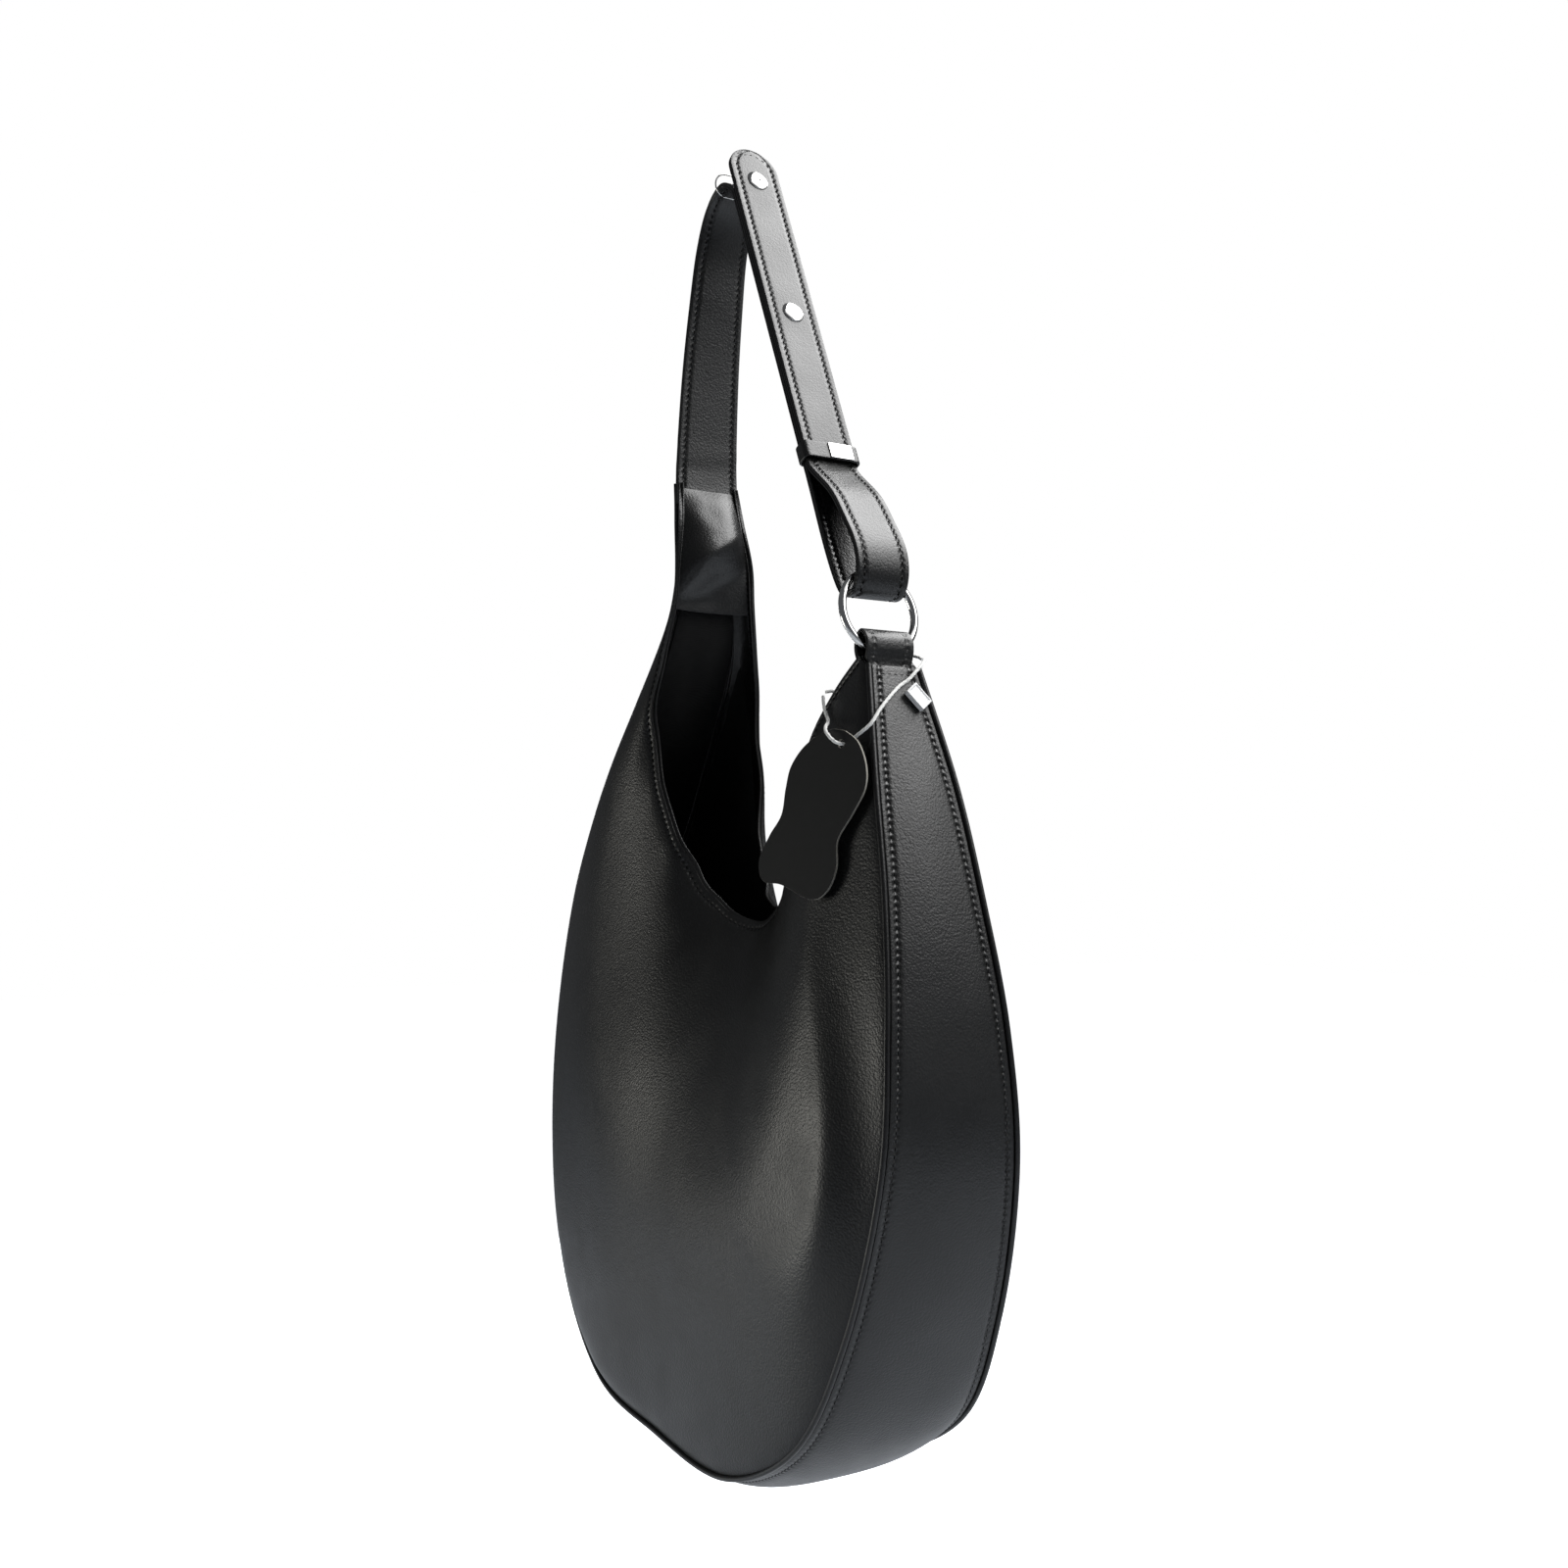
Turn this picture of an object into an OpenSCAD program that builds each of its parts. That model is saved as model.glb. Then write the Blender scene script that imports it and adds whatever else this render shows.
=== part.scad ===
// Hobo shoulder bag: two soft panels and a side band sewn with piping, a folded
// strap that runs through an O-ring, a snap tail, a keeper loop and a hang tag.
// The bag is drawn with X = 0 at the O-ring and Z = 0 just under its base, the front
// panel towards -Y, and is then moved so that the origin is the hanging point.

/* [Leather] */
// Thickness of the panels and the side band
leather_t = 1.8; // [1.2:0.1:2.4]
// Thickness of the turned leather inside the mouth and the neck
facing_t = 1.0; // [0.8:0.1:1.4]
// Width of that turned leather
facing_w = 26; // [20:1:32]
// Thickness of the lining
lining_t = 0.6; // [0.5:0.1:1]
// How far the panels puff out beyond a straight sweep to their seams
puff = 10; // [0:1:16]
// How far the side band sags below its seams at the base
base_sag = 8; // [0:1:12]
// How much higher the back of the mouth stands than the front
back_rise = 8; // [0:1:12]
// Radius of the piping cord in the panel seams
piping_r = 1.5; // [1:0.1:2]

/* [Strap] */
// Width of the strap from the top of its bend to the tip
strap_w = 30; // [24:1:32]
// Thickness of the strap, with its two leathers and core
strap_t = 3; // [2.6:0.1:3.4]
// Lean of the doubled run of the strap from the vertical, in degrees
run_lean = 24.6; // [20:0.1:28]
// Distance of the lower snap above the middle of the keeper
lower_snap = 93; // [80:1:100]
// Distance between the two snaps
snap_pitch = 94; // [80:1:96]
// Distance of the rounded tip above the middle of the keeper
tail_tip = 210; // [200:1:220]
// Distance of the flex line of the tail above the middle of the keeper
tail_flex = 40; // [36:1:60]

/* [Hardware] */
// Middle radius of the O-ring
ring_r = 21; // [19:0.5:22]
// Radius of the O-ring's wire
ring_wire_r = 2; // [1.5:0.1:2.2]
// Radius of the caps of the snaps
cap_r = 6.2; // [5:0.1:7]
// Height of the keeper loop along the strap
keeper_h = 10; // [8:1:12]
// Radius of the wire of the hanging ring
hanger_wire_r = 0.4; // [0.3:0.1:0.8]

/* [Hang tag] */
// Thickness of the leather tag
tag_t = 1.4; // [1:0.1:2]
// Diameter of the string
string_d = 1.8; // [1.4:0.1:2.4]

/* [Hidden] */

// Steps between two neighbouring points of an outline, and across a panel
STEPS = 4;
ACROSS = 8;
SEGMENTS = 48;
// Air left between sewn layers
AIR = 0.3;

// The hanging point, seen from the middle of the O-ring and the base
HANG = [-141, 715];
RING = [0, 448];
RING_LEAN = 12.5;
KEEPER = [-45, 537];

// Seam between a panel and the side band, from the ring tab down round the base
// and up to the neck: [x, z, distance from the middle plane]
SEAM = [
    [13.5, 420, 14.5], [33, 362, 23], [48, 306, 28], [59, 245, 34], [60.5, 180, 38.5], [40, 105, 44],
    [3, 44, 49], [-68, 8, 50], [-150, 8, 50], [-233, 21, 49.5], [-299, 83, 45], [-326, 180, 37.5],
    [-309, 290, 32], [-256, 370, 30], [-203, 440, 24.5], [-188, 482, 19], [-187.5, 528, 18.5]
];
// Edge of the mouth, matched point for point with the seam
MOUTH = [
    [5, 425, 15], [-18, 409, 15.5], [-43, 385, 15], [-62, 350, 12], [-79, 310, 9], [-94, 297, 8],
    [-109, 293, 8], [-125, 296, 12], [-142, 306, 18], [-156, 323, 24], [-167, 343, 29], [-177, 372, 33],
    [-183, 408, 36], [-180, 445, 32], [-175, 478, 27], [-174.5, 502, 25.5], [-178, 528, 21.5]
];
LAST = len(SEAM) - 1;

// A smooth curve through hand-set points
function between(p, i, t) =
    let (n = len(p) - 1, a = p[max(i - 1, 0)], b = p[i], c = p[min(i + 1, n)], d = p[min(i + 2, n)])
    0.5 * (2 * b + (c - a) * t + (2 * a - 5 * b + 4 * c - d) * t * t + (3 * b - a - 3 * c + d) * t * t * t);
function curve(p, u) =
    let (i = min(floor(u), len(p) - 2))
    between(p, i, u - i);
function smooth(p, steps) = [for (k = [0:(len(p) - 1) * steps]) curve(p, k / steps)];
function unit(v) = v / norm(v);

// Outward direction of the seam outline, in X and Z
function outward(u) =
    let (a = curve(SEAM, max(u - 0.05, 0)), b = curve(SEAM, min(u + 0.05, LAST)))
    unit([a[1] - b[1], b[0] - a[0]]);
// A point of the side band: u along the seam, inset inwards, w across from -1 to 1
function band_point(u, inset, w, trim) =
    let (s = curve(SEAM, u), n = outward(u), in = inset - base_sag * pow(max(0, -n[1]), 2) * (1 - w * w))
    [s[0] - n[0] * in, w * (s[2] - trim), s[1] - n[1] * in];
// A point of the mouth's edge, lifted by rise round its lowest point
function mouth_point(u, rise) = curve(MOUTH, u) + [0, rise * pow(sin(15 * min(u, 12)), 2), 0];
// A point of a panel: u along, v from mouth edge to seam, depth inwards
function panel_point(u, v, depth, rise) =
    let (
        s = curve(SEAM, u), m = mouth_point(u, rise), n = outward(u),
        seam = [s[0] - n[0] * (leather_t + 0.2), s[1] - n[1] * (leather_t + 0.2)],
        bulge = puff * pow(sin(180 * u / LAST), 0.7) * sin(180 * v),
        y = m[2] + (s[2] - m[2]) * sin(90 * v) + bulge
    )
    [m[0] + (seam[0] - m[0]) * v, depth - y, m[1] + (seam[1] - m[1]) * v];
// Share of the panel's width that the facing covers
function facing_share(u) =
    let (s = curve(SEAM, u), m = curve(MOUTH, u))
    min(0.86, facing_w / norm([s[0] - m[0], s[1] - m[1]]));

// A point of the doubled run: across its face and up from the keeper, in X and Z
function run_point(across, up) = [
    KEEPER[0] + across * cos(run_lean) - up * sin(run_lean),
    KEEPER[1] + across * sin(run_lean) + up * cos(run_lean)
];
// The middle of the inner run and of the outer run, measured from the tail's face
INNER = -strap_t * 1.5 - AIR;
OUTER = -strap_t / 2;
// The strap's middle line: neck, left run, bend, inner run, fold at the ring, outer run
STRAP = concat(
    [[-184, 537], [-185, 560], [-181, 605], [-172, 655], [-165, 682], [-155, 700], [-140, 707], [-127, 701]],
    [for (up = [172, 120, 60, 10, -20]) run_point(INNER, up)],
    [[-26, 483], [-15, 463], [-8, 457], [0, 458.5], [3.5, 468], [1, 480], [-9, 495], [-22, 511]],
    [for (up = [-10, 15, tail_flex - AIR / 2]) run_point(OUTER, up)]
);
STRAP_LINE = smooth(STRAP, STEPS);
// Half the strap's width: it widens down the left run to the neck
function strap_half(p) = p[0] < -150 ? strap_w / 2 + 5 * pow(max(0, 700 - p[1]) / 160, 0.8) : strap_w / 2;

// Closed skin over a row of matching loops of points, each with an even count
module skin(loops) {
    m = len(loops[0]);
    n = len(loops);
    end = (n - 1) * m;
    sides = [for (i = [0:n - 2], k = [0:m - 1])
        let (a = i * m + k, b = i * m + (k + 1) % m)
        each [[a, b, b + m], [a, b + m, a + m]]];
    caps = [for (k = [0:m / 2 - 2])
        let (a = k, b = k + 1, c = m - 2 - k, d = m - 1 - k)
        each [[c, b, a], [d, c, a], [end + a, end + b, end + c], [end + a, end + c, end + d]]];
    polyhedron([for (loop = loops) each loop], concat(sides, caps), convexity = 8);
}

// Moves the bag so that the hanging point is the origin
module placed() {
    translate([-HANG[0], 0, -HANG[1]]) children();
}

module run_frame() {
    translate([KEEPER[0], 0, KEEPER[1]]) rotate([0, -run_lean, 0]) children();
}

// A layer of a panel between two shares of its width
module panel_layer(first, last, from_v, to_v, depth, t, across, rise) {
    count = round((last - first) * STEPS);
    skin([for (k = [0:count])
        let (u = first + (last - first) * k / count, a = from_v(u), b = to_v(u))
        concat(
            [for (j = [0:across]) panel_point(u, a + (b - a) * j / across, depth, rise)],
            [for (j = [across:-1:0]) panel_point(u, a + (b - a) * j / across, depth + t, rise)]
        )]);
}

// A layer of the side band
module band_layer(first, last, inset, t, trim, across) {
    count = round((last - first) * STEPS);
    skin([for (k = [0:count])
        let (u = first + (last - first) * k / count)
        concat(
            [for (j = [0:across]) band_point(u, inset, 2 * j / across - 1, trim)],
            [for (j = [across:-1:0]) band_point(u, inset + t, 2 * j / across - 1, trim)]
        )]);
}

module panel_leather(rise) {
    panel_layer(0, LAST, function (u) 0, function (u) 1, 0, leather_t, ACROSS, rise);
}

module panel_lining(rise) {
    from_v = function (u) facing_share(u) + 0.02;
    panel_layer(1.25, 13.25, from_v, function (u) 0.96, leather_t + AIR, lining_t, ACROSS - 3, rise);
}

module panel_facing(rise) {
    from_v = function (u) 0;
    panel_layer(0, LAST, from_v, function (u) facing_share(u), leather_t + AIR, facing_t, 2, rise);
}

// Tube swept along points, with the given number of sides
module tube(points, r, sides) {
    n = len(points) - 1;
    skin([for (i = [0:n])
        let (
            t = unit(points[min(i + 1, n)] - points[max(i - 1, 0)]),
            side = unit(cross(t, abs(t[1]) > 0.9 ? [1, 0, 0] : [0, 1, 0])),
            up = cross(side, t)
        )
        [for (k = [0:sides - 1]) points[i] + r * (cos(360 * k / sides) * side + sin(360 * k / sides) * up)]]);
}

module piping() {
    tube([for (k = [0:LAST * STEPS])
        let (s = curve(SEAM, k / STEPS), n = outward(k / STEPS))
        [s[0] - n[0] * 0.3, -s[2] - 0.1, s[1] - n[1] * 0.3]], piping_r, 8);
}

// A layer of the strap: low and high are distances from its middle line
module strap_layer(low, high, margin) {
    n = len(STRAP_LINE) - 1;
    skin([for (i = [0:n])
        let (
            p = STRAP_LINE[i], t = unit(STRAP_LINE[min(i + 1, n)] - STRAP_LINE[max(i - 1, 0)]),
            across = [-t[1], t[0]], half = strap_half(p) - margin, a = p + across * low, b = p + across * high
        )
        [[a[0], -half, a[1]], [b[0], -half, b[1]], [b[0], half, b[1]], [a[0], half, a[1]]]]);
}

// Outline of the tail, from its flex line to its rounded tip
module tail_outline(margin) {
    half = strap_w / 2 - margin;
    translate([-half, tail_flex + AIR / 2]) square([2 * half, tail_tip - tail_flex - strap_w / 2 - AIR / 2]);
    translate([0, tail_tip - strap_w / 2]) circle(r = half, $fn = SEGMENTS);
}

// A flat layer of the tail between two distances behind its face
module tail_layer(low, high, margin) {
    run_frame() rotate([90, 0, 90]) translate([0, 0, low]) linear_extrude(high - low) tail_outline(margin);
}

// Places that a snap takes along the doubled run
module at_snaps() {
    for (up = [lower_snap, lower_snap + snap_pitch])
        run_frame() translate([0, 0, up]) rotate([0, 90, 0]) children();
}

// Places that the studs take on the inner run; the upper one is on the bend, where
// lift clears the strap's curve
module at_studs(lift) {
    run_frame() translate([INNER, 0, lower_snap]) rotate([0, 90, 0]) children();
    translate([-131.6, 0, 703.9]) rotate([0, 26, 0]) translate([0, 0, lift]) children();
}

module snap_bores(r) {
    at_snaps() cylinder(h = 12, r = r, center = true, $fn = SEGMENTS);
}

module stud_bores(r) {
    at_studs(0) cylinder(h = 5, r = r, center = true, $fn = SEGMENTS);
}

LAYER_T = (strap_t - 0.9) / 2;
CORE_HALF = strap_t / 2 - LAYER_T - 0.1;

module front_panel() {
    color("#1b1b1d") placed() panel_leather(0);
}

module back_panel() {
    color("#1b1b1d") placed() mirror([0, 1, 0]) panel_leather(back_rise);
}

module gusset() {
    color("#222224") placed() band_layer(0, LAST, 0, leather_t, leather_t, 4);
}

module front_piping() {
    color("#0f0f10") placed() piping();
}

module back_piping() {
    color("#0f0f10") placed() mirror([0, 1, 0]) piping();
}

module front_lining() {
    color("#111112") placed() panel_lining(0);
}

module back_lining() {
    color("#111112") placed() mirror([0, 1, 0]) panel_lining(back_rise);
}

module gusset_lining() {
    color("#111112") placed() band_layer(1.25, 14, leather_t + 2.3, lining_t, leather_t + 2.6, 2);
}

module front_facing() {
    color("#1a1a1b") placed() panel_facing(0);
}

module back_facing() {
    color("#1a1a1b") placed() mirror([0, 1, 0]) panel_facing(back_rise);
}

module neck_facing() {
    color("#1a1a1b") placed() band_layer(14.25, LAST, leather_t + AIR, facing_t, leather_t + 2.6, 2);
}

module base_stiffener() {
    color("#8a8478") placed() band_layer(6, 9.5, leather_t + AIR, 1.2, leather_t + 2.6, 2);
}

// Strip folded over the O-ring, with both legs sewn inside the top of the side band
module ring_tab() {
    t = 2;
    width = 27;
    line = smooth([
        [14.8, 405], [9.6, 418], [9.2, 424], [10.2, 429], [9.2, 434], [4.6, 437.6], [0.2, 434.5],
        [-0.4, 428], [2.6, 422], [6.6, 417], [12.5, 404]
    ], 5);
    n = len(line) - 1;
    function edge(i, off) =
        let (t = unit(line[min(i + 1, n)] - line[max(i - 1, 0)]))
        line[i] + off * [-t[1], t[0]];
    color("#1f1f21") placed() difference() {
        rotate([90, 0, 0]) linear_extrude(width, center = true)
            polygon(concat([for (i = [0:n]) edge(i, -t / 2)], [for (i = [n:-1:0]) edge(i, t / 2)]));
        for (side = [-1, 1]) translate([-20, side * (width / 2 + 0.5) - 2.5, 390]) cube([60, 5, 35]);
    }
}

module o_ring() {
    color("silver") placed() translate([RING[0], 0, RING[1]]) rotate([0, 90 - RING_LEAN, 0])
        rotate_extrude($fn = 96) translate([ring_r, 0]) circle(r = ring_wire_r, $fn = SEGMENTS);
}

module strap_face() {
    color("#1b1b1d") placed() difference() {
        strap_layer(-strap_t / 2, -strap_t / 2 + LAYER_T, 0);
        stud_bores(1.7);
    }
}

module strap_core() {
    color("#7d7568") placed() difference() {
        strap_layer(-CORE_HALF, CORE_HALF, 1.5);
        stud_bores(1.7);
    }
}

module strap_backing() {
    color("#1b1b1d") placed() difference() {
        strap_layer(strap_t / 2 - LAYER_T, strap_t / 2, 0);
        stud_bores(1.7);
    }
}

// Rivets that hold the studs, with a flat head behind the strap
module stud_rivets() {
    back = strap_t / 2 + 0.1;
    color("silver") placed() at_studs(-0.5) {
        translate([0, 0, -back]) cylinder(h = 2 * back + 0.6, r = 1.6, $fn = SEGMENTS);
        translate([0, 0, -back - 0.8]) cylinder(h = 0.8, r = 4.6, $fn = SEGMENTS);
    }
}

// Studs on the inner run: a narrow head that the socket springs over
module snap_studs() {
    base = strap_t / 2 + 0.05;
    color("silver") placed() at_studs(0.4) translate([0, 0, base]) difference() {
        union() {
            cylinder(h = 0.3, r = 3.6, $fn = SEGMENTS);
            cylinder(h = 1.2, r = 2, $fn = SEGMENTS);
        }
        translate([0, 0, -1]) cylinder(h = 1.8, r = 1.65, $fn = SEGMENTS);
    }
}

// Thin wire ring round the top of the bend: straight runs joined by half circles
module hanging_ring() {
    half_h = 6.4;
    half_w = 17;
    color("silver") translate([0, 0, -half_h]) {
        for (side = [-1, 1]) {
            translate([0, side * (half_w - half_h), 0]) rotate([0, 90, 0]) rotate([0, 0, side < 0 ? 180 : 0])
                rotate_extrude(angle = 180, $fn = SEGMENTS) translate([half_h, 0])
                    circle(r = hanger_wire_r, $fn = 16);
            translate([0, 0, side * half_h]) rotate([90, 0, 0])
                cylinder(h = 2 * (half_w - half_h), r = hanger_wire_r, center = true, $fn = 16);
        }
    }
}

module tail_face() {
    color("#242426") placed() difference() {
        tail_layer(-LAYER_T, 0, 0);
        snap_bores(2.2);
    }
}

module tail_core() {
    color("#7d7568") placed() difference() {
        tail_layer(-strap_t / 2 - CORE_HALF, -strap_t / 2 + CORE_HALF, 1.5);
        snap_bores(2.2);
    }
}

module tail_backing() {
    color("#1b1b1d") placed() difference() {
        tail_layer(-strap_t, -strap_t + LAYER_T, 0);
        snap_bores(4.2);
    }
}

// Low domed caps on the tail's face, each with a dimple and a post through the leather
module snap_caps() {
    color("silver") placed() at_snaps() {
        translate([0, 0, 0.05]) rotate_extrude($fn = SEGMENTS) polygon([
            [0, 0], [cap_r - 0.3, 0], [cap_r, 0.35], [cap_r - 0.5, 0.85], [cap_r * 0.6, 1.25],
            [1.1, 1.35], [0.7, 0.9], [0, 0.8]
        ]);
        translate([0, 0, -1.7]) cylinder(h = 2, r = 2.1, $fn = SEGMENTS);
    }
}

// Socket rings let into the tail's back
module snap_sockets() {
    color("silver") placed() at_snaps() translate([0, 0, 0.25 - strap_t]) difference() {
        cylinder(h = 0.85, r = 4.1, $fn = SEGMENTS);
        translate([0, 0, -1]) cylinder(h = 3, r = 2.4, $fn = SEGMENTS);
    }
}

// Leather loop round both runs
KEEPER_WALL = 1.4;
KEEPER_PLAY = 0.35;
module keeper_loop() {
    inner = [2 * strap_t + AIR + 2 * KEEPER_PLAY, strap_w + 0.8];
    color("#1f1f21") placed() run_frame() translate([-strap_t - AIR / 2, 0, 0]) difference() {
        cube([inner[0] + 2 * KEEPER_WALL, inner[1] + 2 * KEEPER_WALL, keeper_h], center = true);
        cube([inner[0], inner[1], keeper_h + 2], center = true);
    }
}

// Bright plate clipped on the loop's face
module keeper_plate() {
    face = KEEPER_PLAY + KEEPER_WALL + 0.05;
    color("silver") placed() run_frame() translate([face, 5, 0]) rotate([0, 90, 0]) linear_extrude(0.8)
        square([keeper_h - 1, 14], center = true);
}

// Hang tag: the outline is set in its own plane, from the hole down
TAG_AT = [17, -32, 380.5];
module tag_plane() {
    translate(TAG_AT) rotate([0, 0, 20]) rotate([-4, 0, 0]) children();
}

module hang_tag() {
    outline = smooth([
        [2, 6], [10, 0], [15, -11], [15, -22], [8, -34], [0, -46], [0, -59], [-5, -70], [-15, -74],
        [-33, -67], [-45, -65], [-48, -55], [-42, -43], [-35, -33], [-33, -20], [-30, -9], [-21, 1],
        [-7, 7], [2, 6]
    ], 5);
    color("#0d0d0e") placed() tag_plane() rotate([90, 0, 0])
        linear_extrude(tag_t, center = true) difference() {
            polygon(outline);
            circle(r = 2.2, $fn = SEGMENTS);
        }
}

// The string runs from the seal round the ring tab, over the front of the mouth and
// through the tag back to the seal. The stretch inside the bag stays with the tab.
TAB_LOOP = [
    [11.4, 18.4, 424.6], [7, 18.5, 426.5], [0, 17, 427.5], [-5, 12, 424], [-8, 6, 418], [-11, 0, 413],
    [-14, -6, 408], [-18, -10, 406.5], [-21, -13.5, 410.3], [-21.3, -17.5, 409.8]
];
TAG_LOOP_FRONT = [
    [-21, -19.3, 407.6], [-17, -21, 401], [-8, -24.5, 395], [0, -29.5, 391.8], [5.5, -33.8, 390],
    [10.5, -37, 387], [15, -36.8, 383], [17, -34.8, 381], [17.3, -32, 380.5], [17.3, -30, 380.7],
    [21, -27.5, 383.5], [27, -22.5, 389.5], [25.5, -16, 397], [23, -9, 403.5], [20.5, -2, 409],
    [19.6, 2, 411.5]
];
TAG_LOOP_BACK = [[19.5, 5, 413.5], [18.7, 9.5, 417.5], [17.2, 14, 421], [13.9, 17.8, 423.9]];
SEAL_AT = [21.7, 8.6, 404.6];

module string_loop() {
    color("white") placed() tube(smooth(TAB_LOOP, 3), string_d / 2, 8);
}

module tag_string() {
    color("white") placed() {
        tube(smooth(TAG_LOOP_FRONT, 3), string_d / 2, 8);
        tube(smooth(TAG_LOOP_BACK, 3), string_d / 2, 8);
    }
}

// Moulded seal that locks both ends of the string
module string_seal() {
    color("white") placed() translate(SEAL_AT) rotate([0, -18, 0]) rotate([-51, 0, 0])
        cube([3, 12, 8], center = true);
}

front_panel();
back_panel();
gusset();
front_piping();
back_piping();
front_lining();
back_lining();
gusset_lining();
front_facing();
back_facing();
neck_facing();
base_stiffener();
ring_tab();
o_ring();
strap_face();
strap_core();
strap_backing();
stud_rivets();
snap_studs();
hanging_ring();
tail_face();
tail_core();
tail_backing();
snap_caps();
snap_sockets();
keeper_loop();
keeper_plate();
hang_tag();
tag_string();
string_loop();
string_seal();
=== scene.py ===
"""Looks of a black hobo shoulder bag that hangs from the bend of its strap.

Shapes are set in the bag's own millimetres: X = 0 and Y = 0 at the middle of the O-ring, Z = 0 just
under the base, with the front panel towards -Y. at() turns them into the frame's metres.
"""
import math
from bisect import bisect_left
from functools import lru_cache

import bmesh
import bpy
from mathutils import Matrix, Vector, noise


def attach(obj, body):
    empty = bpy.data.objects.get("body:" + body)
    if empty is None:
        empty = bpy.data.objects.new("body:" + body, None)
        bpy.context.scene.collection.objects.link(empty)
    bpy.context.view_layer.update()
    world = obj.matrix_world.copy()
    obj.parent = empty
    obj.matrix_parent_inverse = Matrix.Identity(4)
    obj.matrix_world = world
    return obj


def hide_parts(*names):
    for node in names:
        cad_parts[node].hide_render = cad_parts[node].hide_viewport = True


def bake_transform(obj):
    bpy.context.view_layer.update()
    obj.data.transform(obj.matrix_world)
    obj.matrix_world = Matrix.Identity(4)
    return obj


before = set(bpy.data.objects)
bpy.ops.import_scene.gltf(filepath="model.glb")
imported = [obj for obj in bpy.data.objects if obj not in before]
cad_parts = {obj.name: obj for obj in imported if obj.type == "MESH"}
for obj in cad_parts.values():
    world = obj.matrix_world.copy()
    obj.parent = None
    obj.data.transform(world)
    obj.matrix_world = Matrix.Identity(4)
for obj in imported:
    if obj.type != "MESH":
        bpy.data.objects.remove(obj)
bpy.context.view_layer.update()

MM = 0.001

# ------------------------------------------------------------------ the bag's own dimensions, in mm
HANG_X, HANG_Z = -141.0, 715.0        # the hanging point
LEATHER_T = 1.8
FACING_T = 1.1
STRAP_W, STRAP_T = 30.0, 3.0
RUN_LEAN = math.radians(24.6)
KEEPER = (-45.0, 537.0)
KEEPER_H = 10.0
TAIL_TIP = 210.0
TAIL_FLEX = 40.0
SNAPS = (93.0, 187.0)                 # both snaps, up the run from the keeper
RING = (0.0, 448.0)
RING_LEAN = math.radians(12.5)
RING_R, RING_WIRE = 21.0, 2.0
STITCH_PITCH = 3.6
STITCH_INSET = 4.0                    # from a finished edge to its row of stitches
BASE_SAG = 8.0
BACK_RISE = 8.0

# Seam between a panel and the side band, from the ring tab down round the base and up to the
# strap: x, z, distance from the middle plane
SEAM = [
    (13.5, 420, 14.5), (33, 362, 23), (48, 306, 28), (59, 245, 34), (60.5, 180, 38.5), (40, 105, 44),
    (3, 44, 49), (-68, 8, 50), (-150, 8, 50), (-233, 21, 49.5), (-299, 83, 45), (-326, 180, 37.5),
    (-309, 290, 32), (-256, 370, 30), (-203, 440, 24.5), (-188, 482, 19), (-187.5, 528, 18.5),
    (-188, 549, 18.6),
]
# Edge of the mouth, matched point for point with the seam
MOUTH = [
    (5, 425, 15), (-18, 409, 15.5), (-43, 385, 15), (-62, 350, 12), (-79, 310, 9), (-94, 297, 8),
    (-109, 293, 8), (-125, 296, 12), (-142, 306, 18), (-156, 323, 24), (-167, 343, 29), (-177, 372, 33),
    (-183, 408, 36), (-180, 445, 32), (-175, 478, 27), (-174.5, 502, 25.5), (-178, 528, 21.5),
    (-182.3, 549, 19.4),
]
LAST = len(SEAM) - 1
# How far the face of a panel stands from the middle plane, along the seam's steps
FACE = ((0, 17), (1, 24), (2, 30), (3, 37.5), (4, 48.5), (5, 55), (6, 57.5), (8, 60), (9, 58.5), (10, 54),
        (11, 47), (12, 42), (13, 37), (14, 30), (LAST, 22))
# Distance from the seam at which the flank turns into the face, and how soft that turn is
FLANK = ((0, 12), (1, 32), (2, 52), (3, 62), (3.6, 47), (4.2, 28), (4.6, 19), (5, 28), (5.4, 42), (6, 56),
         (7, 70), (9, 80), (10, 76), (11, 68), (12, 58), (13, 38), (14, 16), (LAST, 8))
TURN = ((0, 2), (2.5, 4.5), (3.2, 3), (4.7, 2.4), (5.2, 4), (6, 8), (7, 14), (11, 14), (12, 10), (13, 6),
        (14, 2), (LAST, 1))
# How far the flank flattens out before it meets the seam
DISH = ((0, 1), (2, 1.7), (3.4, 1.7), (4.4, 1.15), (6, 1), (8, 0.85), (10, 0.68), (13, 0.7), (LAST, 1))


def at(x, y, z):
    """A point of the frame, in metres, from the bag's own millimetres."""
    return Vector(((x - HANG_X) * MM, y * MM, (z - HANG_Z) * MM))


def along(points, u):
    """The smooth curve through given points, at step u."""
    last = len(points) - 1
    i = min(int(u), last - 1)
    t = u - i
    a, b, c, d = (Vector(points[k]) for k in (max(i - 1, 0), i, i + 1, min(i + 2, last)))
    return 0.5 * (2 * b + (c - a) * t + (2 * a - 5 * b + 4 * c - d) * t**2 + (3 * b - a - 3 * c + d) * t**3)


@lru_cache(maxsize=None)
def level(table, u):
    """A value that runs smoothly through a table of (step, value) pairs."""
    total = 0.0
    for k in range(-3, 4):
        x = min(max(u + 0.22 * k, 0.0), LAST)
        for (u0, a), (u1, b) in zip(table, table[1:]):
            if x <= u1:
                total += a + (b - a) * (x - u0) / (u1 - u0)
                break
    return total / 7


def ease(x, low=0.0, high=1.0):
    t = min(1.0, max(0.0, (x - low) / (high - low)))
    return t * t * (3 - 2 * t)


def soft_min(a, b, k):
    h = max(k - abs(a - b), 0.0) / k
    return min(a, b) - h * h * k / 4


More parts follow.
